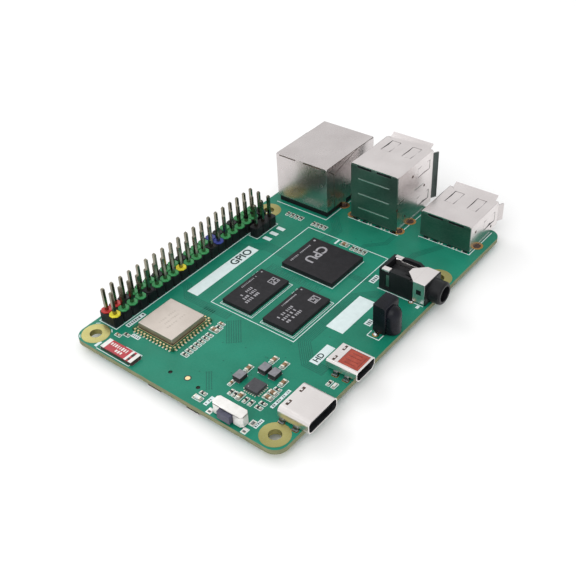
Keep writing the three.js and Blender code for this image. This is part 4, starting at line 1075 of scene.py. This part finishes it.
def build_antenna():
    """The antenna's glazed stripes, with strokes and two windows on them."""
    glaze = Sculpt("antenna_glaze")
    body = Span("antenna")
    length = body.y1 - body.y0
    over = (body.z1 + 0.03, body.z1 + 0.045)
    for start, end, look in STRIPES:
        stripe = rectangle(body.x0 + 0.02, body.x1 - 0.02, body.y1 - length * end, body.y1 - length * start)
        glaze.prism(stripe, body.z1, over[0], look, 0.012)
    bars(glaze, body.x + 0.5, body.y1 - length * 0.42, 5, 0.95, 8, *over, GLAZE_WHITE, 90, True)
    bars(glaze, body.x - 0.6, body.y1 - length * 0.55, 2.8, 0.8, 4, *over, GLAZE_WHITE, 91, True)
    for step, long, wide in ((0.5, 0.9, 0.7), (-0.8, 0.6, 0.6)):
        glaze.box(body.x + step, body.y1 - length * 0.865, long, wide, *over, BROWN)
    glaze.finish()


# ---- infrared receiver

RECEIVER_DEPTH = 3.05
LENS_RADIUS = 2.1


def build_receiver():
    """The moulded block and its half-round lens column, which ends in a quarter dome on the block."""
    cad = Span("ir_receiver")
    receiver = Sculpt("ir_receiver_moulding")
    face, back, low, high = cad.y1 - RECEIVER_DEPTH, cad.y1, cad.z0, cad.z1
    profile = [(face, low), (back, low), (back, high), (face + 0.5, high), (face, high - 0.5)]
    receiver.prism(profile, cad.x0, cad.x1, EPOXY, 0.22, place=facing_x, foot=0.22)
    dome_foot = high - 0.75 - LENS_RADIUS
    column = [(LENS_RADIUS, low)]
    steps = 12
    for k in range(steps):
        a = math.radians(80) * k / (steps - 1)
        column.append((LENS_RADIUS * math.cos(a), dome_foot + LENS_RADIUS * math.sin(a)))
    half_turn = [math.pi * (1 + k / 18) for k in range(19)]
    rings = []
    for r, z in column:
        arc = [(cad.x + r * math.cos(t), face + r * math.sin(t)) for t in half_turn]
        rings.append(level(arc + [(cad.x + r, face + 0.5), (cad.x - r, face + 0.5)], z))
    receiver.loft(rings, EPOXY)
    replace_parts(receiver.finish(smooth_angle=50), "ir_receiver")


# ---- side button


def build_button_cover():
    """A lid with its corners cut off, on two cheeks that leave the plunger's opening free."""
    cad = Span("button_cover")
    plunger = Span("button_plunger")
    cover = Sculpt("button_cover_formed")
    cut = 0.5
    opening = plunger.y1 - cad.y + 0.1
    cover.prism(rounded(cad.around(0, 0), cut, 1), plunger.z1 + 0.08, cad.z1, COVER, 0.16)
    for side in (-1, 1):
        inner, outer = cad.y + side * opening, cad.y + side * (cad.y1 - cad.y)
        cheek = [
            (cad.x0, inner),
            (cad.x0, outer - side * cut),
            (cad.x0 + cut, outer),
            (cad.x1 - cut, outer),
            (cad.x1, outer - side * cut),
            (cad.x1, inner),
        ]
        cover.prism(cheek[::-side], cad.z0, cad.z1 - 0.2, COVER)
        foot = rounded(slab_outline(cad.x0 + 0.35, outer + side * 0.5, 0.6, 1), 0.15)
        cover.prism(foot, 0.02, 0.22, COVER, 0.06)
    # Painted shade: a black strip across the front, in the gap over the plunger.
    gap = rectangle(cad.x0 - 0.012, cad.x0 + 0.1, cad.y - opening, cad.y + opening)
    cover.prism(gap, plunger.z1 + 0.05, plunger.z1 + 0.17, BLACK)
    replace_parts(cover.finish(), "button_cover")


# ---- card slider's spring


def build_return_spring():
    """The slider's return spring, as a fixed coil of wire; in the real socket one end goes with the slider,
    so its turns close up.
    """
    cad = Span("sd_spring")
    wire = 0.1
    turns = 5
    steps = turns * 12
    z = (cad.z0 + cad.z1) / 2
    rings = []
    for k in range(steps + 1):
        a = 2 * math.pi * turns * k / steps
        x = cad.x0 + wire + (cad.x1 - cad.x0 - 2 * wire) * k / steps
        across = circle((cad.z1 - cad.z0) / 2 - wire, 0, wire, 8)
        rings.append([(x - v, cad.y + u * math.cos(a), z + u * math.sin(a)) for u, v in across])
    spring = Sculpt("sd_spring_coil")
    spring.loft(rings, TIN)
    piece = spring.finish(body=None, smooth_angle=60)
    piece.modifiers.clear()
    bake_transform(piece)
    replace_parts(piece, "sd_spring")


# ---- audio jack


def build_jack_rails():
    """The moulded floor and rails of the jack's open well, its sheet strips, and its side joints."""
    jack = Span("audio_jack_housing")
    rails = Sculpt("audio_jack_rails")
    top = jack.z1
    left, right = jack.x0 + 0.8, jack.x1 - 0.8
    rear = jack.y1 - 0.9
    rails.box((left + right) / 2, rear - 3.1, right - left - 0.7, 6, top - 2, top - 1.5, BLACK, 0.1)
    ramp = [(rear - 6.1, top - 1.6), (rear - 3.4, top - 1.6), (rear - 6.1, top - 0.4)]
    rails.prism(ramp, left + 1.3, right - 1.3, BLACK, place=facing_x)
    bar = [
        (rear - 5.6, top - 0.7),
        (rear - 1.6, top - 0.7),
        (rear - 1.8, top - 0.1),
        (rear - 5, top + 0.05),
    ]
    rails.prism(bar, left - 0.1, left + 0.85, BLACK, 0.06, place=facing_x)
    arm = [
        (rear - 6.6, top + 0.02),
        (rear - 4, top - 0.2),
        (rear - 1.8, top - 0.2),
        (rear - 1.9, top + 0.3),
        (rear - 3.2, top + 0.5),
        (rear - 6, top + 0.5),
    ]
    rails.prism(arm, right - 0.1, jack.x1 - 0.05, BLACK, 0.1, place=facing_x)
    rails.finish()

    strips = Sculpt("audio_jack_side_strips")
    for x, reach in ((jack.x0 + 0.62, 1.26), (jack.x1 - 0.42, 0.86)):
        strips.box(x, rear - 0.7, reach, 1.9, top - 0.3, top + 0.08, SHELL_Y, 0.07)
    neck = Span("audio_sleeve_plate").y1 + 0.7
    tongue = [(jack.x1, 3.75), (jack.x + 0.75, neck), (jack.x - 0.75, neck), (jack.x0, 3.75)]
    strips.prism(tongue, top - 0.1, top + 0.05, SHELL_Y, 0.04)
    for x in (jack.x0, jack.x1):
        strips.box(x, 2.35, 0.05, 1.2, 2.45, 3.65, BLACK)
    # Side strips in the plate metal, whose green-grey is a painted reflection of the board.
    for x in (jack.x0 + 0.17, jack.x1 - 0.17):
        strips.box(x, rear - 1.2, 0.08, 0.8, 1.1, top - 1.3, BACK_PLATE)
    for x in (jack.x0 - 0.35, jack.x1 + 0.35):
        top_land(strips, x, 3.9, 0.62, RING_GOLD)
        strips.lathe(x, 3.9, [(0.45, LAND), (0.4, 0.16), (0.18, 0.3)], SOLDER, 14)
    strips.finish()


# ---- large connector shells

# A USB shell's dimples as (x from the mouth, z), drawn as dark discs of painted shade, and its seams as
# (start, end) from the mouth
SHELL_MARKS = {
    "usb_dual": (((-10.5, 12.4), (-17, 6.4), (-5, 7.4), (-13.5, 3)), ((-17.1, -14.2), (-9.4, -5.2))),
    "usb_single": (((-4.4, 2), (-12, 4.6)), ()),
}
SEAM_LINES = ((8.15, 8.3, HIGHLIGHT_SHEET), (8.02, 8.12, RECESS_SHADE))  # a seam's painted highlight above its painted shade, by height
# A USB shell's spring fingers: where they start behind the mouth, and how far apart they are in the roof
FINGER = {"start": -8.1, "length": 5.15, "width": 2.2, "spacing": 5.9}
PORT_MIDDLES = {"usb_single": (3.95,), "usb_dual": (3.95, 12.15)}


def build_shell_details():
    """Slots, dimples and seams of the USB shells, with the dimples in painted shade and the seams in painted
    highlight and painted shade, and the joints at the foot of their back plates.
    """
    details = Sculpt("usb_shell_details")
    for name, (dimples, seams) in SHELL_MARKS.items():
        plate = Span(f"{name}_back_plate")
        mouth = Span(f"{name}_shell").x1
        for side in (-1, 1):
            slot_z = plate.z1 - 0.28
            details.box(plate.x0 + 0.2, plate.y + side * 2.72, 0.1, 3.95, slot_z - 0.32, slot_z + 0.3, BLACK)
            wall = plate.y + side * (plate.y1 - plate.y0) / 2
            span = sorted((wall + side * 0.012, wall - side * 0.1))
            for x, z in dimples:
                # Dark discs of painted shade where the side walls have holes.
                details.prism(circle(mouth + x, z, 0.36, 18), *span, RECESS_SHADE, place=facing_y, flip=True)
            for x0, x1 in seams:
                for z0, z1, look in SEAM_LINES:
                    line = rectangle(mouth + x0, mouth + x1, z0, z1)
                    details.prism(line, *span, look, place=facing_y, flip=True)
        foot = plate.x0 - 0.12
        for step in (-4.9, -3.5, -2.6, 0.4, 1.2, 3.9):
            details.box(foot, plate.y + step, 0.3, 0.34, 0.02, 0.26, TIN, 0.08)
        for step in (-5.6, -1.4, 2.4, 4.9):
            details.box(foot, plate.y + step, 0.3, 1.1, 0.02, 0.24, BLACK, 0.05)
    details.finish()


def finger_profile(mouth, wall, inwards):
    """A shallow sprung tongue seen from its side, as (x, place), from a wall's outer face inwards."""
    start, length = FINGER["start"], FINGER["length"]
    end = start + length
    outer = [(start, 0), (start + length * 0.62, 0.2), (end - length * 0.14, 0.1), (end, 0.03)]
    inner = [(x, depth + 0.13) for x, depth in reversed(outer)]
    return [(mouth + x, wall + inwards * depth) for x, depth in outer + inner]


def build_spring_fingers():
    """The bright sprung tongues that nearly fill the windows of the USB shells."""
    fingers = Sculpt("usb_spring_fingers")
    half = FINGER["width"] / 2
    for name, middles in PORT_MIDDLES.items():
        shell = Span(f"{name}_shell")
        wall_reach = Span(f"{name}_back_plate").y1 - shell.y
        for side in (-1, 1):
            profile = finger_profile(shell.x1, shell.z1 - LIP_FLARE, -1)
            y = shell.y + side * FINGER["spacing"] / 2
            fingers.prism(profile, y - half, y + half, SHELL_USB, place=facing_y)
            profile = finger_profile(shell.x1, shell.y + side * wall_reach, -side)
            for middle in middles:
                fingers.prism(profile, middle - half, middle + half, SHELL_USB, flip=side > 0)
    fingers.finish()


# ---- small connector shells


def build_small_connector_details():
    """The ribs of the HDMI window film and the sprung tabs in the roofs of the two small connectors."""
    ribs = Sculpt("hdmi_window_ribs")
    film = Span("hdmi_window")
    span = (film.z1 - 0.01, film.z1 + 0.04)
    for side in (-1, 1):
        for step, reach in ((0.55, 3), (1.5, 2.4)):
            ribs.box(film.x + side * step, film.y + 0.2, 0.2, reach, *span, AMBER_RIB, 0.03)
    ribs.box(film.x, film.y0 + 0.55, 3.4, 0.2, *span, AMBER_RIB, 0.03)
    ribs.finish()

    tabs = Sculpt("small_shell_tabs")
    for node, spacing, step, width in (("usb_c_shell", 4.2, 6.3, 0.5), ("hdmi_shell", 3.5, 6.1, 0.45)):
        shell = Span(node)
        y, roof = shell.y0 + step, shell.z1
        for side in (-1, 1):
            x = shell.x + side * spacing / 2
            # Painted shade: a dark slot round each tab.
            tabs.box(x, y + 0.05, 1.5, width + 0.1, roof - 0.1, roof + 0.006, RECESS_SHADE)
            tabs.box(x - side * 0.1, y + 0.12, 0.5, width * 0.7, roof - 0.1, roof + 0.05, SHELL_Y, 0.04)
    tabs.finish()


# ---- underside

# The label stuck on the underside: lowest and highest x, then lowest and highest y
UNDER_LABEL = (36.5, 48.5, 24, 32)
TEST_PADS = [(20, 5), (24, 7.5), (36, 9), (45, 10), (50, 14), (66, 33), (66, 37), (30, 41)]


def build_under_parts():
    """Decoupling capacitors and resistors underneath, clear of the label."""
    parts = Sculpt("underside_chips")

    def place_part(x, y, *how):
        x0, x1, y0, y1 = UNDER_LABEL
        if not (x0 - 1 < x < x1 + 1 and y0 - 1 < y < y1 + 1):
            chip_part(parts, x, y, *how, -1)

    chip = Span("soc")
    for i in range(6):
        for j in range(i % 2, 6, 2):
            how = (TAN if (i * j) % 3 else RESISTOR, "y" if i % 2 else "x")
            place_part(chip.x + 2 * (i - 2.5), chip.y + 2 * (j - 2.5), "0402", *how)
    for node in ("ram_1", "ram_2"):
        chip = Span(node)
        for i in range(6):
            place_part(chip.x0 + 1.8 + 2 * i, chip.y, "0402", TAN, "y")
    for i in range(4):
        place_part(64, 22 + 2.2 * i, "0603", TAN, "x")
        place_part(30.5, 7 + 1.5 * i, "0402", RESISTOR, "x")
        place_part(8 + 2.6 * i, 16.6, "0603", TAN, "y")
    parts.finish()


def build_underside():
    """The print, tracks and test pads on the board's other side."""
    ink = Sculpt("underside_print")
    for node in ("soc", "ram_1", "ram_2"):
        ink.border(Span(node).around(0.4, 0.4), 0.15, *UNDER_PRINT)
    ink.border(Span("gpio_header").around(0.3, 0.3), 0.18, *UNDER_PRINT)
    socket = Span("sd_socket_cover")
    x0, x1, y0, y1 = socket.x0 + 0.2, socket.x1 + 0.35, socket.y0 - 0.35, socket.y1 + 0.35
    ink.line([(x0, y1), (x1, y1), (x1, y0), (x0, y0)], 0.18, *UNDER_PRINT)
    pins = header_pins("gpio_header", 2)
    for number, (x, y) in ((2, pins[1]), (40, pins[-1])):
        ink.text(str(number), 1.7, x, y - 5.2, *UNDER_PRINT, mirrored=True)
    ink.box(pins[0][0] - 2, pins[0][1], 0.7, 0.7, *UNDER_PRINT)
    ink.finish()

    tracks = Sculpt("underside_tracks")
    lay_bundles(tracks, UNDER_BUNDLES, UNDERSIDE - TRACK, UNDERSIDE - LIFT / 2)
    tracks.finish()

    pads = Sculpt("underside_test_pads")
    for x, y in TEST_PADS:
        pads.lathe(x, y, [(0.75, UNDERSIDE - LAND), (0.75, UNDERSIDE - LIFT)], BARE_GOLD, 24)
        pads.ring(x, y, 1.05, 0.92, *UNDER_PRINT)
    pads.finish()


# ---- stage, in metres

FLOOR_GAP = 0.05 * MM
FLOOR_SIZE = 3
CAMERA = {
    "azimuth": -49.62,
    "elevation": 37.87,
    "roll": -3.3,
    "distance": 0.1951,
    "aim": (-0.00324, 0.00077, 0.0012),
    "lens": 54.69,
}


def build_stage():
    """A pale floor, a soft white surround and two softboxes."""
    mesh = bpy.data.meshes.new("floor")
    z = CAD_BOX[0].z - FLOOR_GAP
    outline = rectangle(-FLOOR_SIZE, FLOOR_SIZE, -FLOOR_SIZE, FLOOR_SIZE)
    mesh.from_pydata(level(outline, z), [], [(0, 1, 2, 3)])
    shader = Shader("floor")
    shader.set(Base_Color=(0.93, 0.93, 0.93), Roughness=0.9)
    mesh.materials.append(shader.material)
    floor = bpy.data.objects.new("floor", mesh)
    bpy.context.scene.collection.objects.link(floor)

    world = bpy.data.worlds.new("surround")
    world.use_nodes = True
    background = world.node_tree.nodes["Background"].inputs
    background["Color"].default_value = (1, 1, 1, 1)
    background["Strength"].default_value = 0.85
    bpy.context.scene.world = world
    bpy.context.scene.view_settings.view_transform = "Standard"

    add_softbox("key", Vector((-0.38, -0.12, 0.42)), 0.5, 1.3)
    add_softbox("rim", Vector((0.1, 0.5, 0.4)), 0.4, 0.8)


def add_softbox(name, place, size, power):
    """A square lamp that looks at the board."""
    lamp = bpy.data.lights.new(name, "AREA")
    lamp.size = size
    lamp.energy = power
    holder = bpy.data.objects.new(name, lamp)
    holder.location = place
    holder.rotation_mode = "QUATERNION"
    holder.rotation_quaternion = (-place).to_track_quat("-Z", "Y")
    bpy.context.scene.collection.objects.link(holder)


def build_camera():
    """The camera that looks down over the board's front left corner."""
    azimuth, elevation, roll = (math.radians(CAMERA[angle]) for angle in ("azimuth", "elevation", "roll"))
    level_reach = math.cos(elevation)
    back = Vector((math.sin(azimuth) * level_reach, -math.cos(azimuth) * level_reach, math.sin(elevation)))
    data = bpy.data.cameras.new("camera")
    data.lens = CAMERA["lens"]
    data.sensor_width = 36
    data.clip_start, data.clip_end = 0.01, 20
    camera = bpy.data.objects.new("camera", data)
    camera.location = Vector(CAMERA["aim"]) + back * CAMERA["distance"]
    look = (-back).to_track_quat("-Z", "Y").to_matrix().to_4x4()
    camera.rotation_mode = "QUATERNION"
    camera.rotation_quaternion = (look @ Matrix.Rotation(roll, 4, "Z")).to_quaternion()
    bpy.context.scene.collection.objects.link(camera)
    bpy.context.scene.camera = camera


dress_frame()
build_tracks()
build_print()
build_lands()
build_solder_joints()
build_surface_parts()
build_collars()
build_marks()
build_module()
build_antenna()
build_receiver()
build_button_cover()
build_return_spring()
build_jack_rails()
build_shell_details()
build_spring_fingers()
build_small_connector_details()
build_under_parts()
build_underside()
build_stage()
build_camera()
